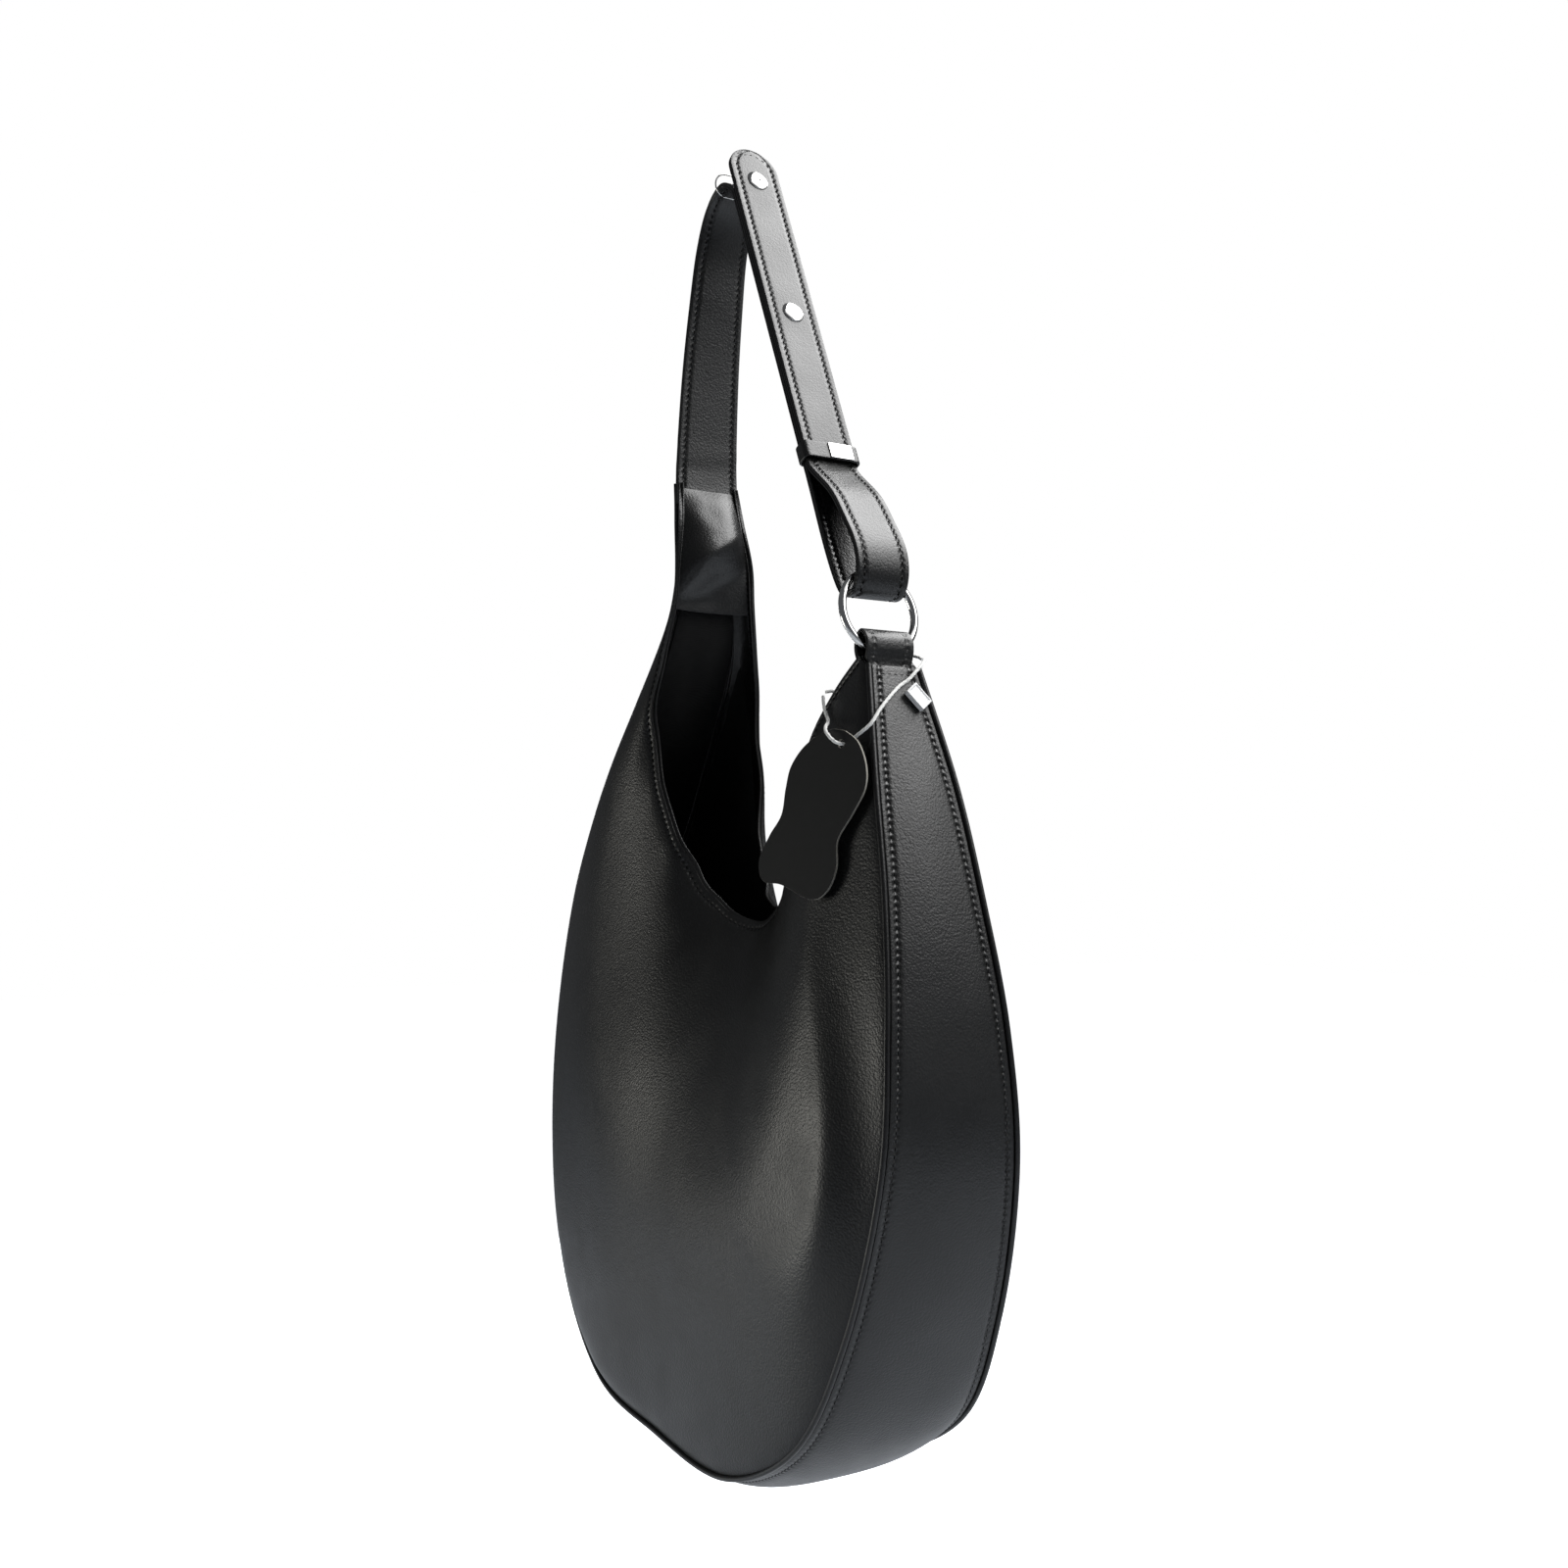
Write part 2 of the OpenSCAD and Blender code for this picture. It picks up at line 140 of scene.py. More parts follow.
def ripple(p, wavelength, seed=0.0):
    """Smooth unevenness from -1 to 1 at a point in mm."""
    return noise.noise(Vector(p) / wavelength + Vector((seed, 0.3 * seed, 0.7 * seed)))


# ------------------------------------------------------------------ surfaces of the body, in mm
@lru_cache(maxsize=None)
def seam(u):
    return along(SEAM, u)


@lru_cache(maxsize=None)
def mouth(u, side):
    m = along(MOUTH, u)
    if side > 0:
        m.y += BACK_RISE * math.sin(math.radians(15 * min(u, 12))) ** 2
    return m


@lru_cache(maxsize=None)
def outward(u):
    """Outward direction of the seam's outline, in X and Z."""
    t = seam(min(u + 0.05, LAST)) - seam(max(u - 0.05, 0))
    return Vector((-t.y, t.x)).normalized()


@lru_cache(maxsize=None)
def flutter(u, side):
    """Small waves of the mouth's left edge in X and Y, where its two sewn leathers pull on each other."""
    size = ease(u, 6.5, 8.5) * (1 - ease(u, 11.5, 13.5))
    return (3.0 * size * noise.noise(Vector((u * 0.9, side * 3.0, 0.5))),
            3.0 * size * noise.noise(Vector((u * 1.1, side * 3.0, 7.5))))


@lru_cache(maxsize=None)
def panel_ends(u, side):
    """Mouth edge and seam edge of a panel at u, in X and Z, and the distance between them."""
    m, s, n = mouth(u, side), seam(u), outward(u)
    edge = Vector((s.x - 2 * n.x, s.y - 2 * n.y))
    return m, edge, (edge - m.xy).length


def panel(u, v, side, depth=0.0):
    """Outer face of a panel: v from mouth edge to seam, side -1 at the front, depth inwards."""
    m, edge, width = panel_ends(u, side)
    s = seam(u)
    plain = m.z + (s.z - m.z) * math.sin(math.pi / 2 * v) + 1.2 * math.sin(math.pi * v)
    face = level(FACE, u)
    turn = level(TURN, u) if side < 0 else max(level(TURN, u), 9.0)
    rise = m.z + (face - m.z) * math.sin(math.pi / 2 * min(1.0, v / 0.62)) + 2.0 * math.sin(math.pi * v)
    power = level(DISH, u) if side < 0 else 1
    flank = s.z + (face - s.z) * (max(1 - v, 0) * width / level(FLANK, u)) ** power
    full = soft_min(rise, flank, min(turn, face - s.z))
    share = ease(u, 0.3, 1.6) * (1 - ease(u, 12.4, 14.2))
    near = math.exp(-((v * width / 13) ** 2))
    dx, dy = flutter(u, side)
    x, z = m.x + (edge.x - m.x) * v + dx * near, m.y + (edge.y - m.y) * v
    y = plain + (full - plain) * share + dy * near
    roll = 1.0 + 3.2 * ease(u, 7.5, 9) * (1 - ease(u, 12, 13.5))
    y += roll * (1 - math.exp(-max(1 - v, 0) * width / 5.5)) * (1 - math.exp(-v * width / 12)) * share
    wave = ripple((x, side * 400, z), 95, 3.1) * 1.6
    y += wave * math.sin(math.pi * v) * share
    return Vector((x, side * (y - depth), z))


def band(u, w, inset=0.0, trim=LEATHER_T):
    """Outer face of the side band: w across from -1 to 1, inset inwards."""
    s, n = seam(u), outward(u)
    crown = 1 - w * w
    out = BASE_SAG * max(0.0, -n.y) ** 2 * (1 - w**4) - inset
    out += crown * (1.0 + 1.6 * ripple((s.x, 40 * w, s.y), 75, 5.0)) * ease(u, 0, 1.5) * ease(LAST - u, 0, 4)
    return Vector((s.x + n.x * out, w * (s.z - trim), s.y + n.y * out))


def measured(line, first, last, steps=500):
    """Lengths along a line from first to last, as a list of steps and a list of lengths."""
    us = [first + (last - first) * k / steps for k in range(steps + 1)]
    lengths = [0.0]
    points = [line(u) for u in us]
    for a, b in zip(points, points[1:]):
        lengths.append(lengths[-1] + (b - a).length)
    return us, lengths


def read_across(xs, ys, x):
    """The value of ys that belongs to x in xs."""
    i = min(max(bisect_left(xs, x), 1), len(xs) - 1)
    t = (x - xs[i - 1]) / max(xs[i] - xs[i - 1], 1e-9)
    return ys[i - 1] + (ys[i] - ys[i - 1]) * t


# ------------------------------------------------------------------ mesh work
def new_piece(name, bm, *materials):
    mesh = bpy.data.meshes.new(name)
    bm.to_mesh(mesh)
    bm.free()
    obj = bpy.data.objects.new(name, mesh)
    bpy.context.scene.collection.objects.link(obj)
    for m in materials:
        mesh.materials.append(m)
    return obj


def grid(name, nu, nv, point, material, wrap=False, away=None):
    """A grid moved onto point(a, b) with a and b from 0 to 1. point gives a place in mm and, for the
    UV map, the length along and the distance from the nearest stitched edge. A wrapped grid closes on
    itself and gets end faces; away tells an open one which way its faces look."""
    bm = bmesh.new()
    uv = bm.loops.layers.uv.new("stitch_mm")
    bmesh.ops.create_grid(bm, x_segments=nu, y_segments=nv, size=0.5)
    marks = {}
    for v in bm.verts:
        p, run, edge = point(v.co.x + 0.5, v.co.y + 0.5)
        v.co = at(*p)
        marks[v] = (run, edge)
    for f in bm.faces:
        f.smooth = True
        for corner in f.loops:
            corner[uv].uv = marks[corner.vert]
    if wrap:
        bmesh.ops.remove_doubles(bm, verts=bm.verts, dist=1e-7)
        rims = [e for e in bm.edges if e.is_boundary]
        for f in bmesh.ops.holes_fill(bm, edges=rims, sides=0)["faces"]:
            f.smooth = False
            for e in f.edges:
                e.smooth = False
        bmesh.ops.recalc_face_normals(bm, faces=bm.faces)
    elif away is not None:
        bm.normal_update()
        total = sum(f.normal.dot(away(f.calc_center_median())) * f.calc_area() for f in bm.faces)
        if total < 0:
            bmesh.ops.reverse_faces(bm, faces=bm.faces)
    return new_piece(name, bm, material)


def thicken(obj, thickness, edge_round=0.45):
    """Gives a sheet its thickness inwards and rounds its cut edges."""
    solid = obj.modifiers.new("Thickness", "SOLIDIFY")
    solid.thickness = thickness * MM
    solid.offset = -1
    solid.use_even_offset = True
    soft = obj.modifiers.new("Edges", "BEVEL")
    soft.width = edge_round * MM
    soft.segments = 3
    soft.limit_method = "ANGLE"
    soft.angle_limit = math.radians(50)
    soft.harden_normals = False
    return obj


def tube(name, line, count, radius, sides, material, ply=0.0, lay=9.0):
    """A round tube along line(t), t from 0 to 1. ply gives it the ridges of twisted strands."""
    spine = [line(k / count) for k in range(count + 1)]
    runs = [0.0]
    for a, b in zip(spine, spine[1:]):
        runs.append(runs[-1] + (b - a).length)
    frames = []
    side = None
    for k, p in enumerate(spine):
        t = (spine[min(k + 1, count)] - spine[max(k - 1, 0)]).normalized()
        side = t.orthogonal().normalized() if side is None else (side - t * side.dot(t)).normalized()
        frames.append((p, side, t.cross(side)))

    def point(a, b):
        k = round(a * count)
        p, s, n = frames[k]
        turn = 2 * math.pi * b
        r = radius * (1 + ply * math.cos(3 * turn - 2 * math.pi * runs[k] / lay))
        return p + r * (math.cos(turn) * s + math.sin(turn) * n), runs[k], turn

    return grid(name, count, sides, point, material, wrap=True)


def rounded_section(half, low, high, round_r, crown=0.0, groove=0.0):
    """Half of a ribbon's section, as (distance from the middle, height) pairs from one edge to the other
    over the top and back underneath. Grooves run where the stitches pull the leather in."""
    insets = [round_r, 1.6, 2.6, 3.4, 4.0, 4.6, 5.4, 7.0, 10.0]
    insets = [i for i in insets if i < half - 0.4]
    across = [-(half - i) for i in insets] + [0.0] + [half - i for i in reversed(insets)]

    def lift(a):
        pull = math.exp(-(((half - abs(a)) - STITCH_INSET) / 0.8) ** 2)
        return crown * (1 - (a / half) ** 2) - groove * pull

    corner = [k * math.pi / 8 for k in (1, 2, 3)]
    top = [(a, high + lift(a)) for a in across]
    bottom = [(a, low - lift(a)) for a in reversed(across)]
    right = [(half - round_r + round_r * math.sin(c), high - round_r + round_r * math.cos(c)) for c in corner]
    right += [(half, (low + high) / 2)]
    right += [(half - round_r + round_r * math.cos(c), low + round_r - round_r * math.sin(c)) for c in corner]
    left = [(-a, h) for a, h in reversed(right)]
    return top + right + bottom + left


def ribbon(name, line, count, section, material, wobble=None):
    """A closed ribbon along line(t) in the X, Z plane, with section(t) across it in Y."""
    spots = [line(k / count) for k in range(count + 1)]
    runs = [0.0]
    for a, b in zip(spots, spots[1:]):
        runs.append(runs[-1] + (b - a).length)
    rings = []
    for k, p in enumerate(spots):
        t = (spots[min(k + 1, count)] - spots[max(k - 1, 0)]).normalized()
        normal = Vector((-t.y, t.x))
        half_ring = section(k / count)
        half = max(abs(a) for a, _ in half_ring)
        ring = []
        for a, h in half_ring:
            h += wobble(runs[k], a) if wobble else 0.0
            q = p + normal * h
            ring.append((Vector((q.x, a, q.y)), runs[k], half - abs(a)))
        rings.append(ring)
    around = len(rings[0])

    def point(a, b):
        return rings[round(a * count)][round(b * around) % around]

    return grid(name, count, around, point, material, wrap=True)


def stitch_row(surface, us, vs_of, sign, first=0):
    """Places of one row of stitches: us and lengths along the row, vs_of(u) across it. sign turns the
    surface's normal to the side that the thread shows on."""
    steps, lengths = us
    places = []
    for k in range(first, int(lengths[-1] / STITCH_PITCH)):
        u = read_across(lengths, steps, (k + 0.5) * STITCH_PITCH)
        v = vs_of(u)
        e = 0.01
        p = surface(u, v)
        along_row = surface(u + e, vs_of(u + e)) - surface(u - e, vs_of(u - e))
        across = surface(u, v + e) - surface(u, v - e)
        places.append(stitch(p, along_row, across.cross(along_row) * sign))
    return places


def stitch(p, direction, normal, length=2.5, width=0.62, lift=0.1):
    """Place of one stitch: a low rounded bar of thread, sunk a little into the leather."""
    x = direction.normalized()
    z = (normal - x * normal.dot(x)).normalized()
    basis = Matrix((x, z.cross(x), z)).transposed().to_4x4()
    size = Matrix.Diagonal((length / 2 * MM, width / 2 * MM, 0.32 * MM, 1))
    return Matrix.Translation(at(*(p + z * lift))) @ basis @ size


def sewn(name, places):
    """Rows of stitches as one piece, made in small lots, because a big mesh is slow to add to."""
    bm = bmesh.new()
    for start in range(0, len(places), 50):
        lot = bmesh.new()
        for place in places[start:start + 50]:
            bmesh.ops.create_uvsphere(lot, u_segments=6, v_segments=4, radius=1, matrix=place)
        mesh = bpy.data.meshes.new("lot")
        lot.to_mesh(mesh)
        lot.free()
        bm.from_mesh(mesh)
        bpy.data.meshes.remove(mesh)
    for f in bm.faces:
        f.smooth = True
    return new_piece(name, bm, THREAD)


# ------------------------------------------------------------------ materials
def srgb(code):
    """An sRGB hex colour as linear RGBA."""
    parts = [int(code[i:i + 2], 16) / 255 for i in (1, 3, 5)]
    return (*[c / 12.92 if c <= 0.04045 else ((c + 0.055) / 1.055) ** 2.4 for c in parts], 1.0)


def add(tree, kind, inputs=(), **settings):
    """Adds a node with its settings, and sets or links its inputs by name or number."""
    made = tree.nodes.new(kind)
    for key, value in settings.items():
        setattr(made, key, value)
    for key, value in dict(inputs).items():
        if isinstance(value, bpy.types.NodeSocket):
            tree.links.new(value, made.inputs[key])
        else:
            made.inputs[key].default_value = value
    return made


def new_material(name, **constants):
    """A material with its shader, whose constant sockets are set here."""
    made = bpy.data.materials.new(name)
    made.use_nodes = True
    shader = made.node_tree.nodes["Principled BSDF"]
    for key, value in constants.items():
        shader.inputs[key.replace("_", " ")].default_value = value
    return made, made.node_tree, shader


def leather(name, dark, light, rough, grain_mm, grain_depth_mm, pucker_mm=0.0, coat=0.0):
    """Coated split leather, black all through: a pressed pebble grain under a thin satin finish, which
    gives soft wide highlights that break up into small sparks where light rakes over the grain."""
    made, tree, shader = new_material(name, IOR=1.5, Coat_Weight=coat, Coat_Roughness=0.3)
    coords = add(tree, "ShaderNodeTexCoord").outputs["Object"]
    mottle = add(tree, "ShaderNodeTexNoise", {"Vector": coords, "Scale": 1 / (28 * MM), "Detail": 3.0})
    tint = add(tree, "ShaderNodeMix", {"Factor": mottle.outputs["Fac"], 6: srgb(dark), 7: srgb(light)},
               data_type="RGBA")
    tree.links.new(tint.outputs[2], shader.inputs["Base Color"])
    wear = add(tree, "ShaderNodeMapRange", {"Value": mottle.outputs["Fac"], "From Min": 0.3, "From Max": 0.7,
                                            "To Min": rough - 0.04, "To Max": rough + 0.05})
    tree.links.new(wear.outputs["Result"], shader.inputs["Roughness"])
    warp = add(tree, "ShaderNodeTexNoise", {"Vector": coords, "Scale": 1 / (grain_mm * 2.2 * MM),
                                            "Detail": 1.0})
    bent = add(tree, "ShaderNodeVectorMath", {0: warp.outputs["Color"], 1: (grain_mm * 0.5 * MM,) * 3},
               operation="MULTIPLY")
    moved = add(tree, "ShaderNodeVectorMath", {0: coords, 1: bent.outputs["Vector"]}, operation="ADD")
    pebble = add(tree, "ShaderNodeTexVoronoi", {"Vector": moved.outputs["Vector"],
                                                "Scale": 1 / (grain_mm * MM)},
                 feature="SMOOTH_F1")
    lift = add(tree, "ShaderNodeMapRange", {"Value": pebble.outputs["Distance"], "From Min": 0.1,
                                            "From Max": 0.75, "To Min": 1.0, "To Max": 0.0})
    grain = add(tree, "ShaderNodeBump", {"Height": lift.outputs["Result"], "Distance": grain_depth_mm * MM,
                                         "Strength": 1.0})
    pores = add(tree, "ShaderNodeTexNoise", {"Vector": coords, "Scale": 1 / (0.5 * MM), "Detail": 2.0})
    fine = add(tree, "ShaderNodeBump", {"Height": pores.outputs["Fac"], "Distance": 0.03 * MM,
                                        "Strength": 1.0,
                                        "Normal": grain.outputs["Normal"]})
    normal = fine.outputs["Normal"]
    if pucker_mm:
        normal = puckers(tree, pucker_mm, normal)
    tree.links.new(normal, shader.inputs["Normal"])
    return made


def puckers(tree, depth_mm, normal):
    """Dimples that the thread pulls into the leather along a row of stitches."""
    uv = add(tree, "ShaderNodeUVMap", uv_map="stitch_mm").outputs["UV"]
    parts = add(tree, "ShaderNodeSeparateXYZ", {0: uv})
    off = add(tree, "ShaderNodeMath", {0: parts.outputs["Y"], 1: STITCH_INSET}, operation="SUBTRACT")
    square = add(tree, "ShaderNodeMath", {0: off.outputs[0], 1: off.outputs[0]}, operation="MULTIPLY")
    spread = add(tree, "ShaderNodeMath", {0: square.outputs[0], 1: -0.7}, operation="MULTIPLY")
    valley = add(tree, "ShaderNodeMath", {0: spread.outputs[0]}, operation="EXPONENT")
    turn = add(tree, "ShaderNodeMath", {0: parts.outputs["X"], 1: 2 * math.pi / STITCH_PITCH},
               operation="MULTIPLY")
    beat = add(tree, "ShaderNodeMath", {0: turn.outputs[0]}, operation="COSINE")
    shape = add(tree, "ShaderNodeMath", {0: beat.outputs[0], 1: 0.35, 2: 0.65}, operation="MULTIPLY_ADD")
    dip = add(tree, "ShaderNodeMath", {0: valley.outputs[0], 1: shape.outputs[0]}, operation="MULTIPLY")
    bump = add(tree, "ShaderNodeBump", {"Height": dip.outputs[0], "Distance": depth_mm * MM, "Strength": 1.0,
                                        "Normal": normal}, invert=True)
    return bump.outputs["Normal"]


def cloth(name, dark, light, thread_mm, depth_mm, rough):
    """Plain woven polyester: two sets of crossing threads, which scatter light with a faint sheen."""
    made, tree, shader = new_material(name, Roughness=rough, IOR=1.3, Sheen_Weight=0.05, Sheen_Roughness=0.5)
    coords = add(tree, "ShaderNodeTexCoord").outputs["Object"]
    waves = [add(tree, "ShaderNodeTexWave", {"Vector": coords, "Scale": 1 / (thread_mm * MM * 3.14),
                                             "Distortion": 0.6}, bands_direction=d) for d in ("X", "Z")]
    weave = add(tree, "ShaderNodeMath", {0: waves[0].outputs["Fac"], 1: waves[1].outputs["Fac"]},
                operation="MULTIPLY")
    tint = add(tree, "ShaderNodeMix", {"Factor": weave.outputs[0], 6: srgb(dark), 7: srgb(light)},
               data_type="RGBA")
    tree.links.new(tint.outputs[2], shader.inputs["Base Color"])
    bump = add(tree, "ShaderNodeBump", {"Height": weave.outputs[0], "Distance": depth_mm * MM,
                                        "Strength": 1.0})
    tree.links.new(bump.outputs["Normal"], shader.inputs["Normal"])
    return made


def plated(name, tone, rough):
    """Polished nickel plate: a bright mirror with fine handling scratches that blur it in places."""
    made, tree, shader = new_material(name, Metallic=1.0)
    coords = add(tree, "ShaderNodeTexCoord").outputs["Object"]
    stretch = add(tree, "ShaderNodeMapping", {"Vector": coords, "Scale": (1, 9, 1)})
    marks = add(tree, "ShaderNodeTexNoise", {"Vector": stretch.outputs["Vector"], "Scale": 1 / (3 * MM),
                                             "Detail": 4.0})
    tint = add(tree, "ShaderNodeMix", {"Factor": marks.outputs["Fac"], 6: srgb(tone), 7: srgb("#F1F0EC")},
               data_type="RGBA")
    tree.links.new(tint.outputs[2], shader.inputs["Base Color"])
    blur = add(tree, "ShaderNodeMapRange", {"Value": marks.outputs["Fac"], "From Min": 0.35, "From Max": 0.7,
                                            "To Min": rough, "To Max": rough + 0.1})
    tree.links.new(blur.outputs["Result"], shader.inputs["Roughness"])
    bump = add(tree, "ShaderNodeBump", {"Height": marks.outputs["Fac"], "Distance": 0.01 * MM,
                                        "Strength": 1.0})
    tree.links.new(bump.outputs["Normal"], shader.inputs["Normal"])
    return made


def speckled(name, dark, light, rough, size_mm, depth_mm, **constants):
    """A plain material whose fine unevenness shows as a soft mottle in colour and relief."""
    made, tree, shader = new_material(name, Roughness=rough, **constants)
    coords = add(tree, "ShaderNodeTexCoord").outputs["Object"]
    spots = add(tree, "ShaderNodeTexNoise", {"Vector": coords, "Scale": 1 / (size_mm * MM), "Detail": 4.0})
    tint = add(tree, "ShaderNodeMix", {"Factor": spots.outputs["Fac"], 6: srgb(dark), 7: srgb(light)},
               data_type="RGBA")
    tree.links.new(tint.outputs[2], shader.inputs["Base Color"])
    bump = add(tree, "ShaderNodeBump", {"Height": spots.outputs["Fac"], "Distance": depth_mm * MM,
                                        "Strength": 1.0})
    tree.links.new(bump.outputs["Normal"], shader.inputs["Normal"])
    return made


SHELL = leather("shell_coated_leather", "#0D0D0D", "#141413", 0.37, 1.05, 0.1, 0.6)
PIPING = leather("piping_rolled_leather", "#0B0B0B", "#121212", 0.38, 1.0, 0.05)
FACING = leather("facing_turned_leather", "#0D0D0D", "#141413", 0.36, 1.05, 0.09, 0.5)
STRAP = leather("strap_firm_leather", "#101010", "#171716", 0.35, 1.05, 0.09, 0.45)
# The lining is black cloth. Its colour is set darker than that black to paint the shade that falls inside the
# bag.
LINING = cloth("lining_woven_polyester", "#050505", "#0A0A0A", 0.4, 0.08, 0.8)
# Edge paint: a brushed acrylic film, shinier than the leather it closes.
EDGE_PAINT = speckled("edge_paint_acrylic", "#0B0B0C", "#141415", 0.3, 1.2, 0.08)
# Bonded polyester sewing thread: hard twisted and waxed, so it stays dark with a small glint.
THREAD = speckled("thread_bonded_polyester", "#030303", "#060606", 0.8, 0.4, 0.05, IOR=1.2)
NICKEL = plated("hardware_nickel_plate", "#D6D6D6", 0.05)
# Split suede side of the tag: matte, with a short nap that lifts its darks a little.
TAG_FACE = speckled("tag_coated_leather", "#101010", "#161615", 0.66, 0.6, 0.03, IOR=1.4)
TAG_EDGE = speckled("tag_raw_cut_edge", "#6E6C66", "#A6A399", 0.85, 0.5, 0.06)
# Waxed cotton string: soft white strands that scatter light.
STRING = speckled("string_waxed_cotton", "#E9E8E3", "#FAFAF8", 0.75, 0.35, 0.06, Sheen_Weight=0.2)
# Seal of moulded polypropylene: slightly cloudy and smooth.
SEAL = speckled("seal_moulded_polypropylene", "#F0F0EE", "#FAFAFA", 0.35, 3.0, 0.02)
# Fibre board: pressed fibres, matte and warm grey.
BOARD = speckled("stiffener_fibre_board", "#6F685A", "#8B8373", 0.85, 1.0, 0.08)


def run_xz(across, up):
    """A point of the doubled run, in X and Z: across its face, and up it from the keeper."""
    c, s = math.cos(RUN_LEAN), math.sin(RUN_LEAN)
    return Vector((KEEPER[0] + across * c - up * s, KEEPER[1] + across * s + up * c))


def run_point(across, y, up):
    p = run_xz(across, up)
    return Vector((p.x, y, p.y))


def rides(obj, body, slot, *nodes):
    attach(obj, body)
    if nodes:
        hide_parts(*nodes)
    return obj


def over_neck(obj, slot, *nodes):
    """Bakes the piece's placement into its mesh and hides the CAD nodes that it stands for."""
    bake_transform(obj)
    if nodes:
        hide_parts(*nodes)
    return obj


def over_flex(obj, slot, *nodes):
    """Works out the run's points either side of the tail's flex line, which are not used, bakes the piece's
    placement into its mesh and hides the CAD nodes that it stands for.
    """
    low, high = run_point(0, 0, TAIL_FLEX - 9), run_point(0, 0, TAIL_FLEX + 9)
    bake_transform(obj)
    if nodes:
        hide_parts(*nodes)
    return obj


# ------------------------------------------------------------------ camera
def make_camera():
    data = bpy.data.cameras.new("camera")
    data.sensor_width = 36
    data.lens = 37.1
    data.shift_y = 0.0625
    data.clip_end = 50
    cam = bpy.data.objects.new("camera", data)
    bpy.context.scene.collection.objects.link(cam)
    cam.location = at(667, -439, 315)
    cam.rotation_euler = (math.radians(90), 0, math.radians(60))
    bpy.context.scene.camera = cam


make_camera()

# ------------------------------------------------------------------ the tag's string and seal
STRING_D = 1.8
# The stretch round the ring tab and over the mouth's edge
TAB_LOOP = [
    (11.4, 18.4, 424.6), (7, 18.5, 426.5), (0, 17, 427.5), (-5, 12, 424), (-8, 6, 418), (-11, 0, 413),
    (-14, -6, 408), (-18, -10, 406.5), (-21, -13.5, 410.3), (-21.3, -17.5, 409.8),
]
# The stretch down to the tag, through its hole and back up past the seal
TAG_LOOP = [
    (-21, -19.3, 407.6), (-17, -21, 401), (-8, -24.5, 395), (0, -29.5, 391.8), (5.5, -33.8, 390),
    (10.5, -37, 387), (15, -36.8, 383), (17, -34.8, 381), (17.3, -32, 380.5), (17.3, -30, 380.7),
    (21, -27.5, 383.5), (27, -22.5, 389.5), (25.5, -16, 397), (23, -9, 403.5), (20.5, -2, 409),
    (19.6, 2, 411.5), (19.5, 5, 413.5), (18.7, 9.5, 417.5), (17.2, 14, 421), (13.9, 17.8, 423.9),
]


def string_piece(name, points, body, slot_name, node):
    last = len(points) - 1
    count = last * 14

    def line(t):
        return along(points, t * last)

    spine = [at(*line(k / count)) for k in range(count + 1)]
    obj = tube(name, line, count, STRING_D / 2 * 0.93, 12, STRING, ply=0.09, lay=3.2)
    rides(obj, body, slot_name, node)
    return obj


def string_seal():
    """Moulded seal: a flat box with round corners and a raised rim. It lies beside the string, not on it."""
    bm = bmesh.new()
    bmesh.ops.create_cube(bm, size=1)
    bmesh.ops.scale(bm, vec=Vector((3, 12, 8)) * MM, verts=bm.verts)
    faces = [f for f in bm.faces if abs(f.normal.x) > 0.9]
    bmesh.ops.inset_individual(bm, faces=faces, thickness=1.1 * MM, depth=0)
    bmesh.ops.inset_individual(bm, faces=faces, thickness=0.4 * MM, depth=-0.35 * MM)
    bmesh.ops.bevel(bm, geom=bm.edges[:], offset=0.25 * MM, segments=2, profile=0.5, affect="EDGES",
                    material=-1)
    turn = Matrix.Rotation(math.radians(-18), 4, "Y") @ Matrix.Rotation(math.radians(-51), 4, "X")
    bmesh.ops.transform(bm, matrix=Matrix.Translation(at(21.7, 8.6, 404.6)) @ turn, verts=bm.verts)
    for f in bm.faces:
        f.smooth = False
    return rides(new_piece("string_seal_moulding", bm, SEAL), "tag", "seal_plastic", "string_seal")


TAG_OUTLINE = [
    (2, 6), (10, 0), (15, -11), (15, -22), (8, -34), (0, -46), (0, -59), (-5, -70), (-15, -74), (-33, -67),
    (-45, -65), (-48, -55), (-42, -43), (-35, -33), (-33, -20), (-30, -9), (-21, 1), (-7, 7), (2, 6),
]


